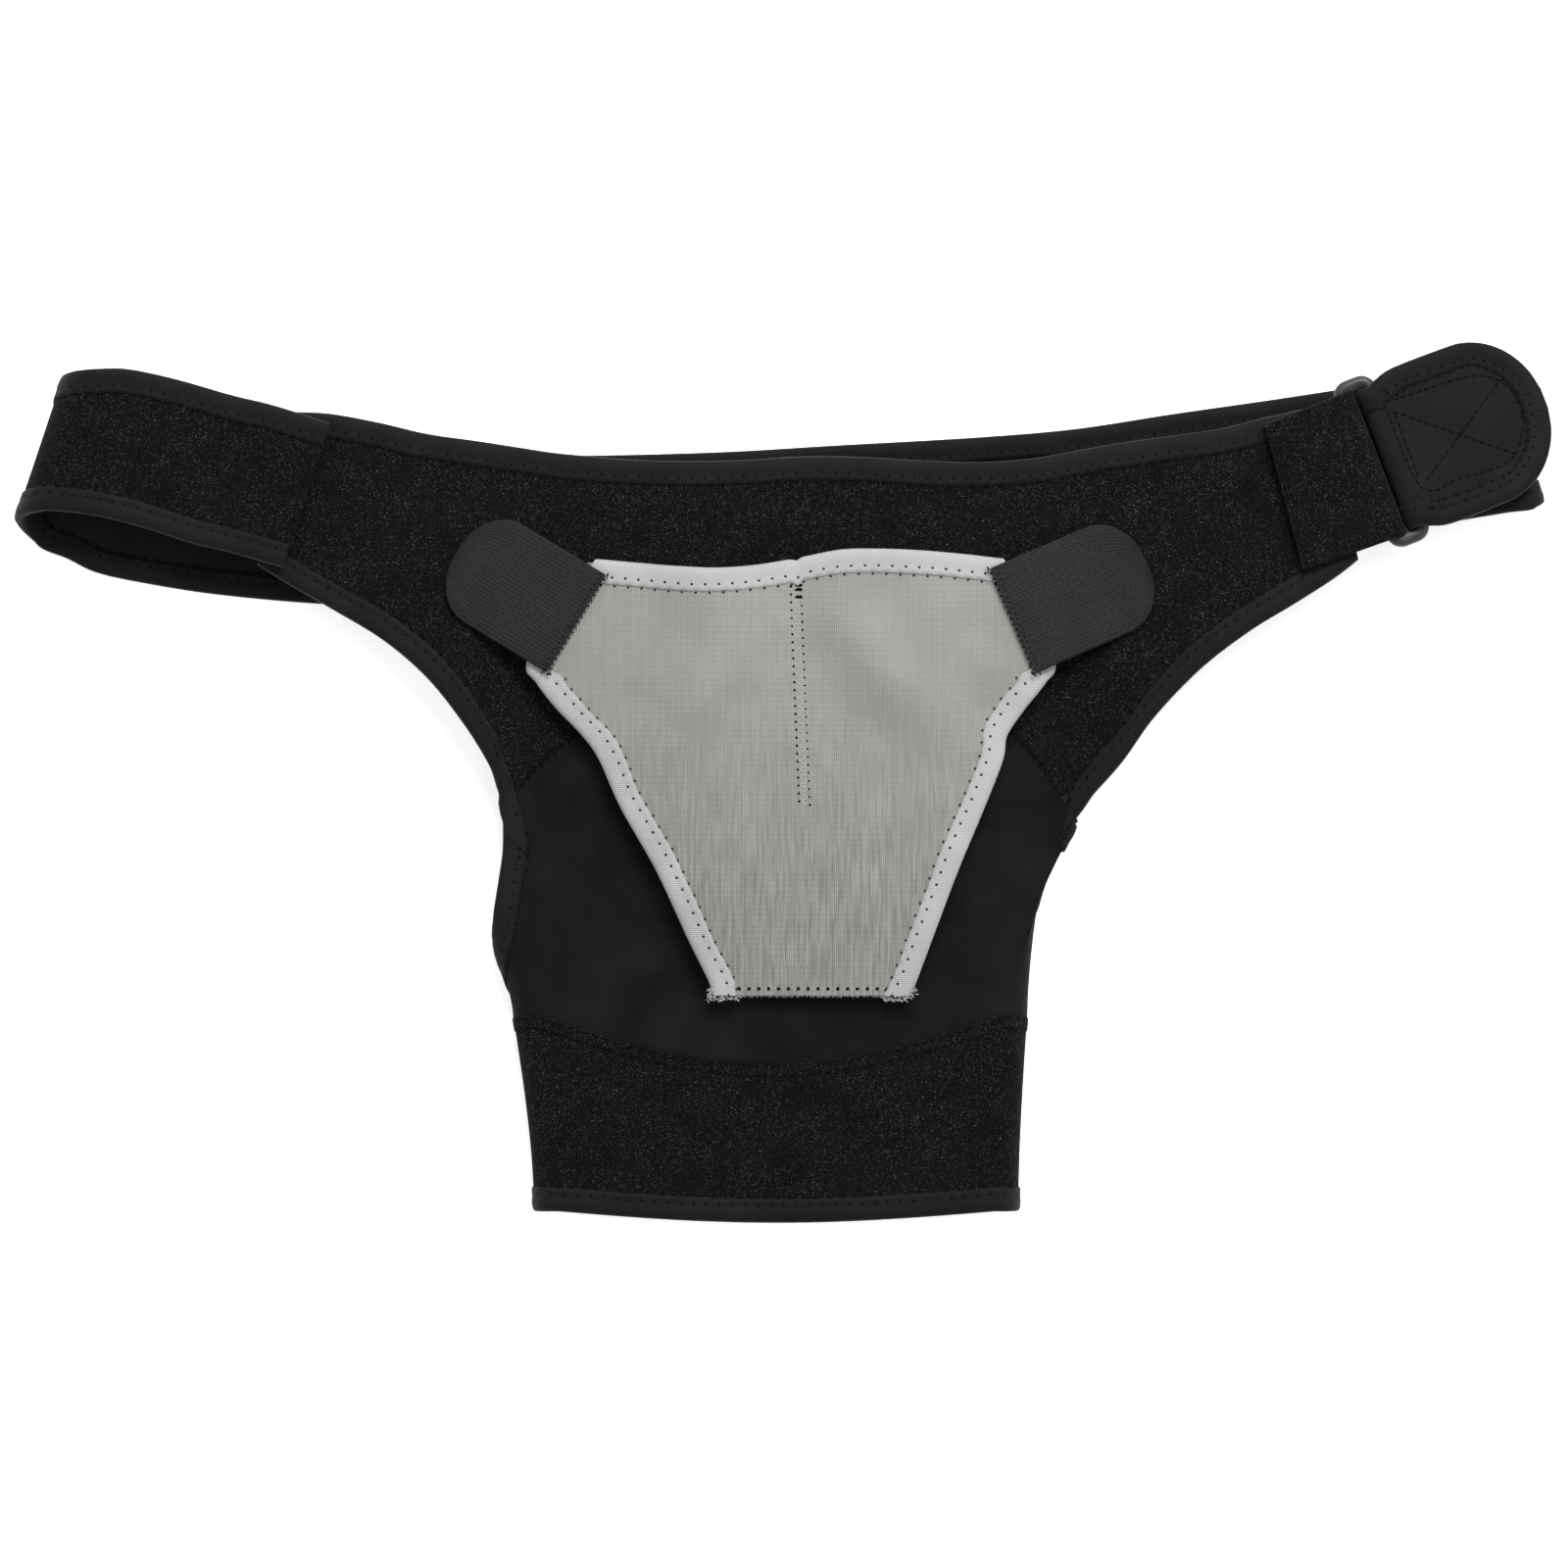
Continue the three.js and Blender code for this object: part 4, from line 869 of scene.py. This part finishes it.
ring = {
    "place": (0.389, 0.368),
    "lean": -21,
    "width": 0.93,
    "bar": 0.00225,
    "slot": 0.007,
    "corner": 0.0035,
    "swell": 0.4,           # share that the end bars are thicker inwards
    "clearance": 0.0005,    # beside the strap
    "fold": 0.0007,
    "height": 0.01408,
}
tab = {
    "length": 0.061,
    "width": 0.0595,
    "round": 0.026,
    "patch": 0.0015,
    "gap": 0.0004,
}
barSpacing = ring["slot"] + 2 * ring["bar"]


def crossLine(lean):
    angle = math.radians(lean)
    return np.array([math.sin(angle), math.cos(angle), 0.0])


ringCentre = plan(*ring["place"], ring["height"])
ringSide = crossLine(ring["lean"])
ringAlong = np.array([ringSide[1], -ringSide[0], 0.0])


def strapLine(centre, lean, width, edge):
    half = crossLine(lean) * (width / 2 - edge)
    return [centre + half * s for s in (1.0, 1 / 3, -1 / 3, -1.0)]


def turnCentres(axis, lean, radius, start, sweep, steps, advance=0.0):
    side = crossLine(lean)
    along = np.array([side[1], -side[0], 0.0])
    angles = [math.radians(start + sweep * i / steps) for i in range(steps + 1)]
    return [axis - side * advance * i / steps + along * radius * math.cos(a) + up * radius * math.sin(a)
            for i, a in enumerate(angles)]


def strapGrid():
    lines = []
    edge = layout["overhang"]

    def add(centre, lean, width):
        lines.append(strapLine(centre, lean, width * strap["width"], edge))

    bendTop = strap["floor"] + 2 * strap["leftBend"]
    for x, y, lean, width, lift in strap["front"]:
        add(plan(x, y, strap["seamHeight"] + (bendTop - strap["seamHeight"]) * lift), lean, width)
    x, y, lean, width = strap["leftTurn"]
    axis = plan(x, y, strap["floor"] + strap["leftBend"])
    for centre in turnCentres(axis, lean, strap["leftBend"], 90, 180, 8, strap["leftAdvance"]):
        add(centre, lean, width)
    for x, y, lean, width in strap["back"]:
        add(plan(x, y, strap["floor"]), lean, width)
    x, y, lean, width = strap["rightTurn"]
    axis = plan(x, y, strap["floor"] + strap["rightBend"])
    for centre in turnCentres(axis, lean, strap["rightBend"], -90, 180, 6, strap["rightAdvance"]):
        add(centre, lean, width)
    returnHeight = strap["floor"] + 2 * strap["rightBend"]
    fold = ring["bar"] + ring["fold"] + strap["thickness"] / 2
    lowFold, topFold = ring["height"] - fold, ring["height"] + fold
    for i, (x, y, lean, width) in enumerate(strap["return"]):
        share = (i + 1) / (len(strap["return"]) + 1)
        add(plan(x, y, returnHeight + (lowFold - returnHeight) * share), lean, width)
    boundEnd = len(lines) - 1
    bar = ringCentre + ringAlong * barSpacing / 2
    for centre in turnCentres(bar, ring["lean"], fold, -90, -180, 6):
        add(centre, ring["lean"], ring["width"])
    tabStart = len(lines)
    patchFloor = returnHeight + strap["thickness"] / 2 + edge + tab["gap"]
    tabHeight = patchFloor + tab["patch"] + tab["gap"] + strap["thickness"] / 2

    def tabLine(distance, z, width):
        centre = ringCentre + ringAlong * distance
        centre[2] = z
        lines.append(strapLine(centre, ring["lean"], width, edge))

    first = barSpacing / 2 + 0.003
    shoulder = tab["length"] - tab["round"]
    tabLine(first, topFold, (tab["width"] + ring["width"] * strap["width"]) / 2)
    tabLine(first + 0.007, (topFold + tabHeight) / 2, tab["width"])
    for i in range(7):
        a = math.pi / 2 * (i / 6) * 0.93
        width = tab["width"] * math.cos(a) + 2 * edge * math.sin(a)
        tabLine(shoulder + tab["round"] * math.sin(a), tabHeight, width)
    steps = 6
    grid = smoothGrid(lines, steps, 5)
    fade = np.sin(np.linspace(0, math.pi, grid.shape[1])) ** 0.5
    grid[..., 2] += ripple(grid, 0.03, strap["ripple"], 4) * fade[None]
    return grid, boundEnd * steps, tabStart * steps, tabHeight


strapSheet, boundEnd, tabStart, tabHeight = strapGrid()
strapSkin = skin("chestStrapCloth", wallSections(strapSheet, strap["thickness"]), loopPile, lining=strapLining)
finishPiece(strapSkin, "loop_pile", "chest_strap")
bindEdge("strapUpperTape", strapSheet, False, strap["thickness"], ["strap_binding_upper"], 6, 0, boundEnd + 1)
bindEdge("strapLowerTape", strapSheet, True, strap["thickness"], ["strap_binding_lower"], 7, 0, boundEnd + 1)


# strip of cloth inside a flat outline that has the cloth on its left
def outlineGrid(outline, depth):
    tangent = unit(np.gradient(outline, axis=0))
    inward = np.cross(up, tangent)
    return outline[:, None] + inward[:, None] * (np.linspace(0, depth, 6)[None, :, None])


foldSheet = strapSheet[boundEnd:tabStart + 8]
foldThickness = strap["thickness"] - 0.0004    # sinks the fold's tape into the tapes that it meets
bindEdge("foldUpperTape", foldSheet, False, foldThickness, [], 12)
bindEdge("foldLowerTape", foldSheet, True, foldThickness, [], 13)
tabOutline = np.vstack([strapSheet[tabStart:, -1], strapSheet[tabStart:, 0][::-1]])
tabEdge = outlineGrid(tabOutline, 0.012)
bindEdge("tabTape", tabEdge, False, strap["thickness"], ["tab_binding"], 8)


def ringPoint(along, across, z):
    point = ringCentre + ringAlong * along + ringSide * across
    point[2] = z
    return point


def hookPatch():
    z = tabHeight - strap["thickness"] / 2 - tab["gap"] - tab["patch"] / 2
    half = tab["width"] / 2 - layout["tapeReach"] - 2 * layout["overhang"]
    start = barSpacing / 2 + ring["bar"] + layout["tapeReach"]
    end = tab["length"] - layout["tapeReach"] - 4 * layout["overhang"]
    shoulder = tab["length"] - tab["round"]
    rounded = [(shoulder + (end - shoulder) * math.sin(a), math.cos(a)) for a in map(math.radians, (20, 40, 60, 75))]
    lines = [[ringPoint(distance, half * share * s, z) for s in (1.0, 0.0, -1.0)]
             for distance, share in [(start, 1.0), (shoulder, 1.0)] + rounded]
    grid = smoothGrid(lines, 4, 4)
    piece = skin("tabHookPatch", wallSections(grid, tab["patch"]), hookFabric)
    return finishPiece(piece, "hook_fabric", "strap_hook_patch"), grid


tabPatch, tabPatchSheet = hookPatch()


def addRing():
    half = (ring["width"] * strap["width"] + 2 * ring["clearance"]) / 2 + ring["bar"]
    r = ring["corner"]
    path, outs = [], []
    for corner, (sx, sy) in enumerate(((1, 1), (-1, 1), (-1, -1), (1, -1))):
        for k in range(9):
            a = math.pi / 2 * (corner + k / 8)
            path.append(ringPoint(sx * (barSpacing / 2 - r) + r * math.cos(a), sy * (half - r) + r * math.sin(a),
                                  ring["height"]))
            outs.append(ringAlong * math.cos(a) + ringSide * math.sin(a))
    sections = []
    for point, out in zip(path, outs):
        inner = 1 + ring["swell"] * abs(np.dot(out, ringSide)) ** 2
        section = []
        for q in range(20):
            t = 2 * math.pi * q / 20
            stretch = inner if math.cos(t) < 0 else 1
            section.append(point + ring["bar"] * (out * math.cos(t) * stretch + up * math.sin(t)))
        sections.append(section)
    piece = skin("strapRing", np.array(sections), ringPlastic, True)
    return finishPiece(piece, "black_plastic", "ring")


addRing()

ringLoop = {
    "thickness": 0.0024,
    "seam": (0.325, 0.326, -15, 0.91),    # x, y, lean, width as a share
}


def addRingLoop():
    legOffset = layout["wall"] / 2 + layout["overhang"] + tab["gap"] + ringLoop["thickness"] / 2
    fold = ring["bar"] + ring["fold"] + ringLoop["thickness"] / 2
    bar = ringCentre - ringAlong * barSpacing / 2
    x, y, seamLean, seamWidth = ringLoop["seam"]
    seam = plan(x, y, ring["height"])
    lines = []

    def leg(share, side):
        centre = seam + (bar - seam) * share
        mix = lambda a, b: a + (b - a) * share
        centre[2] = ring["height"] + side * (mix(legOffset, fold) if share > 0.8 else legOffset)
        width = mix(seamWidth, ring["width"]) * strap["width"]
        lines.append(strapLine(centre, mix(seamLean, ring["lean"]), width, 0.0))

    for share in (0, 0.3, 0.6, 0.8):
        leg(share, 1)
    for centre in turnCentres(bar, ring["lean"], fold, 90, -180, 6):
        lines.append(strapLine(centre, ring["lean"], ring["width"] * strap["width"], 0.0))
    for share in (0.8, 0.6, 0.35):
        leg(share, -1)
    grid = smoothGrid(lines, 5, 5)[:, ::-1]
    piece = skin("ringLoopCloth", wallSections(grid, ringLoop["thickness"]), loopPile, lining=smoothJersey)
    return finishPiece(piece, "loop_pile", "ring_loop"), grid


ringLoopSkin, ringLoopSheet = addRingLoop()
print("strap, ring and tab ready")


# pressure pad
pad = {
    "thickness": 0.0035,
    "rise": 0.006,
    # left, right, y, rise
    "rows": [(-0.128, 0.148, 0.252, 0.35), (-0.147, 0.162, 0.198, 0.45), (-0.167, 0.176, 0.139, 0.5),
             (-0.161, 0.17, 0.116, 0.55), (-0.147, 0.156, 0.085, 0.62), (-0.131, 0.145, 0.056, 0.7),
             (-0.12, 0.142, 0.028, 0.78), (-0.106, 0.13, -0.026, 0.82), (-0.083, 0.113, -0.097, 0.7),
             (-0.062, 0.096, -0.176, 0.38), (-0.049, 0.086, -0.223, 0.1), (-0.047, 0.082, -0.239, 0.0)],
    # the wavy upper edge: shift in the plan, extra rise
    "wave": [(0, 0), (-0.004, 0), (-0.008, 0.1), (-0.01, 0.15), (-0.007, 0.05), (0.001, 0.2), (0.01, 0.55),
             (0.011, 0.6), (0.009, 0.4), (0.005, 0.1), (0, 0)],
    "waveDepth": 0.75,
    "gap": 0.0004,
    # in millimetres in the plan: the dart's line and the soft folds, each with its half width and height
    "dart": [(4.2, 71.6), (4.7, 56.2), (5.4, 38.7), (6.3, 17.7), (7.3, -7.5)],
    "dartDepth": (2.6, 0.6),
    "notch": (0.0046, 0.0008, 0.0016),    # in metres: place, depth and half width of the dip beside the dart
    "folds": [((-8, 58), (-46, 10), 12, 5.2), ((24, 58), (60, 12), 12, 6.2), ((-44, 62), (-62, 40), 7, -0.8),
              ((66, 62), (78, 44), 7, -0.8), ((-26, -16), (-14, -62), 10, 1.3), ((30, -12), (24, -60), 9, 1.1)],
}


def foldHeight(x, y, a, b, halfWidth, height):
    a, b, point = np.array(a) / 1000, np.array(b) / 1000, np.array([x, y]) - np.array(layout["shift"])
    share = min(max(np.dot(point - a, b - a) / np.dot(b - a, b - a), 0.0), 1.0)
    away = np.linalg.norm(point - a - (b - a) * share) / (halfWidth / 1000)
    return height / 1000 * math.exp(-away * away) * (0.25 + 0.75 * math.sin(math.pi * min(share * 0.9 + 0.1, 1.0)))


def heightField(objects):
    fields = []
    for obj in objects:
        mesh = obj.data
        verts = [v.co.copy() for v in mesh.vertices]
        faces = [tuple(p.vertices) for p in mesh.polygons if len(p.vertices) <= 4]
        fields.append(BVHTree.FromPolygons(verts, faces))
    return fields


def heightAt(x, y, fields, spread=0.002):
    best = 0.0
    for shift in (-spread, 0.0, spread):
        for field in fields:
            hit = field.ray_cast(Vector((x + shift, y + shift / 2, 0.2)), Vector((0, 0, -1)))
            if hit[0] is not None:
                best = max(best, hit[0].z)
    return best


# the cut follows the plan, so that the knit runs straight up the pad
def layFlat(obj):
    layer = obj.data.uv_layers["cut"]
    for loop in obj.data.loops:
        point = obj.data.vertices[loop.vertex_index].co
        layer.data[loop.index].uv = (point.y, point.x)


def padGrid():
    under = heightField([yokeSkin, sleeveSkin])
    rows = smoothRows(pad["rows"], 10)
    wave = smoothRows(pad["wave"], 12)
    edge = layout["overhang"]
    notchPlace, notchDepth, notchWidth = pad["notch"]
    dartWidth, dartDepth = pad["dartDepth"]
    grid = np.zeros((len(rows), len(wave), 3))
    for i, (left, right, y, rise) in enumerate(rows):
        fade = max(0.0, 1 - i / (len(rows) - 1) / pad["waveDepth"]) ** 2
        for j, (shift, lift) in enumerate(wave):
            u = j / (len(wave) - 1)
            x = plan(left, 0)[0] + edge + (plan(right, 0)[0] - plan(left, 0)[0] - 2 * edge) * u
            side = 0.35 + 0.65 * math.sin(math.pi * u)
            notch = notchDepth * math.exp(-((x - layout["shift"][0] - notchPlace) / notchWidth) ** 2)
            place = plan(0, y + shift * fade)[1] - notch * max(0.0, 1 - i / 6)
            bow = pad["rise"] * (rise * side + lift * fade)
            z = heightAt(x, place, under) + edge + 2 * pad["gap"] + pad["thickness"] / 2 + bow
            quiet = math.sin(math.pi * u) ** 0.5 * min(1.0, i / 6) * min(1.0, (len(rows) - 1 - i) / 6)
            for fold in pad["folds"]:
                z += quiet * foldHeight(x, place, *fold)
            for a, b in zip(pad["dart"], pad["dart"][1:]):
                z -= 0.5 * foldHeight(x, place, a, b, dartWidth, dartDepth)
            grid[i, j] = (x, place, z)
    for _ in range(6):    # the cloth spans small steps under it
        inner = grid[1:-1, 1:-1, 2]
        around = (grid[:-2, 1:-1, 2] + grid[2:, 1:-1, 2] + grid[1:-1, :-2, 2] + grid[1:-1, 2:, 2]) / 4
        grid[1:-1, 1:-1, 2] = np.maximum(inner, around * 0.7 + inner * 0.3)
    return grid


padSheet = padGrid()
padSkin = skin("padCloth", wallSections(padSheet, pad["thickness"]), greyJersey)
layFlat(padSkin)
finishPiece(padSkin, "grey_jersey", "pad")
paleSlot = {"cloth": paleTape, "thread": paleThread, "hole": holeShadeGrey, "holeSize": 0.001, "slot": "pale_tape"}
cornerRow = 2 * 10    # the third row, ten stations to a row
padAcross = np.swapaxes(padSheet, 0, 1)[::-1][1:-1]
padTop = bindEdge("padTopTape", padAcross, False, pad["thickness"], ["pad_binding_top"], 9, **paleSlot)
padLeft = bindEdge("padLeftTape", padSheet, False, pad["thickness"], ["pad_binding_left"], 10, cornerRow, **paleSlot)
padRight = bindEdge("padRightTape", padSheet, True, pad["thickness"], ["pad_binding_right"], 11, cornerRow,
                    **paleSlot)
print("pad ready")


# hook tabs
hookTab = {
    "thickness": 0.0015,
    "width": 0.0395,
    "round": 0.015,
    "overlap": 0.008,
    "steepest": 0.3,
    "gap": 0.0004,
}


def addHookTab(name, cadNode, upper, lower, length, under):
    high, low = plan(*upper), plan(*lower)
    side = unit(high - low)
    away = np.array([-side[1], side[0], 0.0]) * (-1 if upper[0] > 0 else 1)
    inner = (high + low) / 2 - away * hookTab["overlap"]
    straight = length - hookTab["round"]
    rows = [(s * straight, 1.0) for s in np.linspace(0, 1, 16)]
    roundEnd = np.radians([12, 25, 36, 47, 57, 66, 74, 80])
    rows += [(straight + hookTab["round"] * math.sin(a), math.cos(a)) for a in roundEnd]
    heights = []
    for s, half in rows:
        samples = []
        for across in np.linspace(-1, 1, 7):
            for ahead in (-0.003, 0.0, 0.003):
                point = inner + away * (s + ahead) + side * across * half * hookTab["width"] / 2
                samples.append(heightAt(point[0], point[1], under, 0.0005))
        heights.append(max(samples) + hookTab["gap"] + hookTab["thickness"] / 2)
    for k in range(1, len(rows)):
        heights[k] = max(heights[k], heights[k - 1] - hookTab["steepest"] * (rows[k][0] - rows[k - 1][0]))
    for k in range(len(rows) - 2, -1, -1):
        heights[k] = max(heights[k], heights[k + 1] - hookTab["steepest"] * (rows[k + 1][0] - rows[k][0]))
    grid = []
    for (s, half), z in zip(rows, heights):
        centre = inner + away * s
        centre[2] = z
        grid.append([centre + side * across * half * hookTab["width"] / 2 for across in np.linspace(1, -1, 12)])
    grid = np.array(grid)
    piece = skin(name, wallSections(grid, hookTab["thickness"]), hookFabric)
    return finishPiece(piece, "hook_fabric", cadNode), grid


underTabs = heightField([yokeSkin, padSkin, padTop, padLeft, padRight])
topRow, cornerPlace = pad["rows"][0], pad["rows"][2]
leftTab, leftTabSheet = addHookTab("leftHookTab", "hook_tab_left", (topRow[0], topRow[2]),
                                   (cornerPlace[0], cornerPlace[2]), 0.050, underTabs)
rightTab, rightTabSheet = addHookTab("rightHookTab", "hook_tab_right", (topRow[1], topRow[2]),
                                     (cornerPlace[1], cornerPlace[2]), 0.0525, underTabs)
print("hook tabs ready")


# seams that aren't on a tape
seams = {
    "weltWidth": 0.0052,
    "weltHeight": 0.00045,
    "weltRows": (0.0009, 0.0044),
    "tabPitch": 0.0022,
    "archPitch": 0.0032,
    "box": [(213.7, 135.8), (227.3, 140.2), (240.6, 144.6), (249.4, 145.4), (257.5, 142.2), (262.3, 135.0),
            (263.5, 128.5), (262.3, 122.1), (260.7, 117.3), (254.3, 112.8), (240.6, 109.0), (226.9, 105.6)],
    "boxLeft": [(217.3, 132.5), (226.1, 109.2)],
    "crosses": [[(216.5, 132.9), (261.5, 117.3)], [(254.7, 143.4), (228.5, 107.6)]],
    "bars": [[(3.9, 70.6), (6.6, 70.6)], [(3.9, 69.0), (6.6, 69.0)], [(3.9, 66.4), (6.6, 66.4)]],
    "padRow": [(-19.4, -72.6), (36.6, -72.6)],
}


# flat strip laid on a wall beside one of its edges; also gives its rows of stitches
def welt(name, grid, lastEdge, thickness, material, closed):
    width, height = seams["weltWidth"], thickness / 2 + seams["weltHeight"]
    normals = gridNormals(grid, closed)
    columns, facings = (grid[:, ::-1], normals[:, ::-1]) if lastEdge else (grid, normals)
    nearRow, farRow = seams["weltRows"]
    # distance in from the edge and height
    shape = [(0.0002, thickness / 2 + 0.00005), (0.0004, height - 0.0001), (nearRow, height - 0.00012),
             (width / 2, height), (farRow, height - 0.00012), (width - 0.0003, height - 0.00008),
             (width, thickness / 2 + 0.00005), (width - 0.0006, thickness / 2 - 0.0002),
             (0.0006, thickness / 2 - 0.0002)]
    sections, rows = [], ([], [])
    for column, facing in zip(columns, facings):
        points, turned = columnWalk(column, facing, np.array([d for d, h in shape]))
        section = [p + n * h for p, n, (d, h) in zip(points, turned, shape)]
        sections.append(section)
        rows[0].append(section[2])
        rows[1].append(section[4])
    finishPiece(skin(name, np.array(sections), material, closed), "loop_pile")
    return [np.array(row) for row in rows], facings[:, 0]


weltRows, weltNormals = welt("cuffSeamWelt", cuffSheet, True, loopCloth, loopPile, True)
for number, row in enumerate(weltRows):
    sewRow(f"cuffSeamRow{number + 1}", row, weltNormals, blackThread, 0.0023, 0.0009, 0.00055, True)


# zigzag over the arch, where the yoke is sewn to the sleeve
def archSeam():
    rows = range(leftCorner + 4, rightCorner - 3)
    normals = gridNormals(yokeSheet)
    crests, valleys, facing = [], [], []
    for i in rows:
        points, turned = columnWalk(yokeSheet[i], normals[i], np.array([0.0, 0.0022]))
        lift = turned[1] * (loopCloth / 2 + 0.0001)
        crests.append(points[1] + lift)
        valleys.append(points[0] + unit(points[0] - points[1]) * 0.0009 + lift)
        facing.append(turned[1])
    crests, valleys, facing = np.array(crests), np.array(valleys), np.array(facing)
    run = runAlong(valleys)
    phase, ends = run / seams["archPitch"], run[-1] / seams["archPitch"]
    sewZigzag("archSeamZigzag", walkPhases(crests, facing, phase, 0.0, ends, False),
              walkPhases(valleys, facing, phase, 0.5, ends, False), blackThread, needleDark, 0.0007)


archSeam()
onTab, onPad = heightField([strapSkin]), heightField([padSkin])


# a line drawn in the plan, in millimetres, dropped onto a piece
def dropLine(line, fields, lift=0.0):
    line = np.array(line, float)
    run = runAlong(line)
    at = np.linspace(0, run[-1], max(int(run[-1]), 1) + 1)    # about a millimetre apart
    spots = sample(line, run, at) / 1000 + np.array(layout["shift"])
    points = np.array([(x, y, heightAt(x, y, fields, 0.0) + lift) for x, y in spots])
    return points, np.tile(up, (len(points), 1))


for name, line in (("Box", seams["box"] + seams["box"][:1]), ("BoxLeft", seams["boxLeft"]),
                   ("Cross1", seams["crosses"][0]), ("Cross2", seams["crosses"][1])):
    path, facing = dropLine(smoothRows(line, 4) if len(line) > 2 else line, onTab)
    sewRow("tab" + name, path, facing, blackThread, 0.0022, 0.0007, 0.0006)


def acrossRow(name, sheet, station, thickness):
    normals = gridNormals(sheet)[station]
    sewRow(name, sheet[station] + normals * thickness / 2, normals, blackThread, 0.0024, 0.001, 0.00055)


acrossRow("strapEndRow", strapSheet, 1, strap["thickness"])
acrossRow("ringLoopRow1", ringLoopSheet, 1, ringLoop["thickness"])
acrossRow("ringLoopRow2", ringLoopSheet, 2, ringLoop["thickness"])

# the pad's dart, its tacks and its lower row
dartPath = dropLine(pad["dart"], onPad)
sewZigzag("dartZigzag", *zigzagLines(*dartPath, 0.00284, 0.00185), padThread, needleDark, 0.0009, slot="pale_tape")
for number, line in enumerate(seams["bars"]):
    path, facing = dropLine(line, onPad, 0.0001)
    bar = threadMesh(f"dartBar{number + 1}", path[:1], path[-1:], facing[:1], 0.0012, 0.0007, blackThread)
    finishPiece(bar, "edge_tape")
padRow = dropLine(seams["padRow"], onPad)
needleHoles("padRowHoles", *walk(*padRow, 0.0035), needleDark, 0.0013)
sewRow("padRowStitches", *padRow, padThread, 0.002, 0.0015, 0.0003)


def looseThreads(name, starts, stops, width, height, material):
    return threadMesh(name, np.array(starts), np.array(stops), np.tile(up, (len(starts), 1)), width, height, material)


# zigzag and loose tacks where a hook tab is sewn to the pad
def tabSeam(name, sheet):
    end, inward = sheet[0], unit(sheet[1] - sheet[0])
    crests = end + inward * 0.0016 + up * (hookTab["thickness"] / 2 + 0.0001)
    valleys = end - inward * 0.0007
    for point in valleys:
        point[2] = max(heightAt(point[0], point[1], underTabs, 0.0) + 0.0001, point[2] - 0.0012)
    facing = np.tile(up, (len(end), 1))
    phase = runAlong(end) / seams["tabPitch"]
    sewZigzag(name + "Zigzag", walkPhases(crests, facing, phase, 0.0, phase[-1], False),
              walkPhases(valleys, facing, phase, 0.5, phase[-1], False), blackThread, blackThread, 0.0006, 0.0004)
    starts, stops = [], []
    inward = inward.mean(0)
    for corner, count in ((end[0], 2), (end[-1], 3)):
        for k in range(count):
            shift = inward * (-0.0014 + 0.0011 * k)
            start = corner + shift + up * 0.0007
            turn = 0.0026 * (1 + 0.2 * k)
            out = unit(corner - end[len(end) // 2])
            starts.append(start - out * 0.0008)
            stops.append(start + out * turn * 0.6 + inward * (0.0007 - 0.0012 * (k % 2)) - up * 0.0005)
    finishPiece(looseThreads(name + "Tacks", starts, stops, 0.00045, 0.0004, blackThread), "edge_tape")


tabSeam("leftHookTab", leftTabSheet)
tabSeam("rightHookTab", rightTabSheet)


# frayed threads along the pad's cut edge and at the ends of its tape
fray = {"edgeCount": 420, "tuftCount": 210, "seed": 5}


def addFray():
    chance = random.Random(fray["seed"])
    starts, stops = [], []
    bottom = padSheet[-1]
    for _ in range(fray["edgeCount"]):
        at = chance.uniform(0, len(bottom) - 1.001)
        base = bottom[int(at)] + (bottom[int(at) + 1] - bottom[int(at)]) * (at % 1)
        base = base + up * chance.uniform(-0.0012, 0.0014)
        starts.append(base + np.array([0, 0.0004, 0]))
        stops.append(base + np.array([chance.uniform(-0.0007, 0.0007), chance.uniform(-0.0012, -0.0002),
                                      chance.uniform(-0.0005, 0.0006)]))
    finishPiece(looseThreads("padEdgeFray", starts, stops, 0.00022, 0.0002, paleThread), "pale_tape")
    starts, stops = [], []
    for side, corner in ((1, bottom[0]), (-1, bottom[-1])):
        for _ in range(fray["tuftCount"]):
            base = corner + np.array([side * chance.uniform(-0.003, 0.0085), chance.uniform(-0.002, 0.0026),
                                      chance.uniform(0.0012, 0.0028)])
            starts.append(base)
            stops.append(base + np.array([chance.uniform(-0.0013, 0.0013), chance.uniform(-0.0011, 0.0008),
                                          chance.uniform(-0.0006, 0.0005)]))
    finishPiece(looseThreads("padTapeTufts", starts, stops, 0.0003, 0.00026, paleThread), "pale_tape")


addFray()
print("seams ready")


def addFloor():
    ground = {
        "half": 6,
        "level": -0.0003,
        "colour": (0.92, 0.92, 0.92, 1.0),
        "glow": 0.55,       # a lit table, as in a catalogue picture
    }
    half, level = ground["half"], ground["level"]
    mesh = bpy.data.meshes.new("floor")
    mesh.from_pydata([(-half, -half, level), (half, -half, level), (half, half, level), (-half, half, level)], [],
                     [(0, 1, 2, 3)])
    floor = bpy.data.objects.new("floor", mesh)
    bpy.context.scene.collection.objects.link(floor)
    material, tree, shader = newMaterial("paleFloor", 0.9, specular=0.2)
    shader.inputs["Base Color"].default_value = ground["colour"]
    shader.inputs["Emission Color"].default_value = (1.0, 1.0, 1.0, 1.0)
    shader.inputs["Emission Strength"].default_value = ground["glow"]
    mesh.materials.append(material)


addFloor()
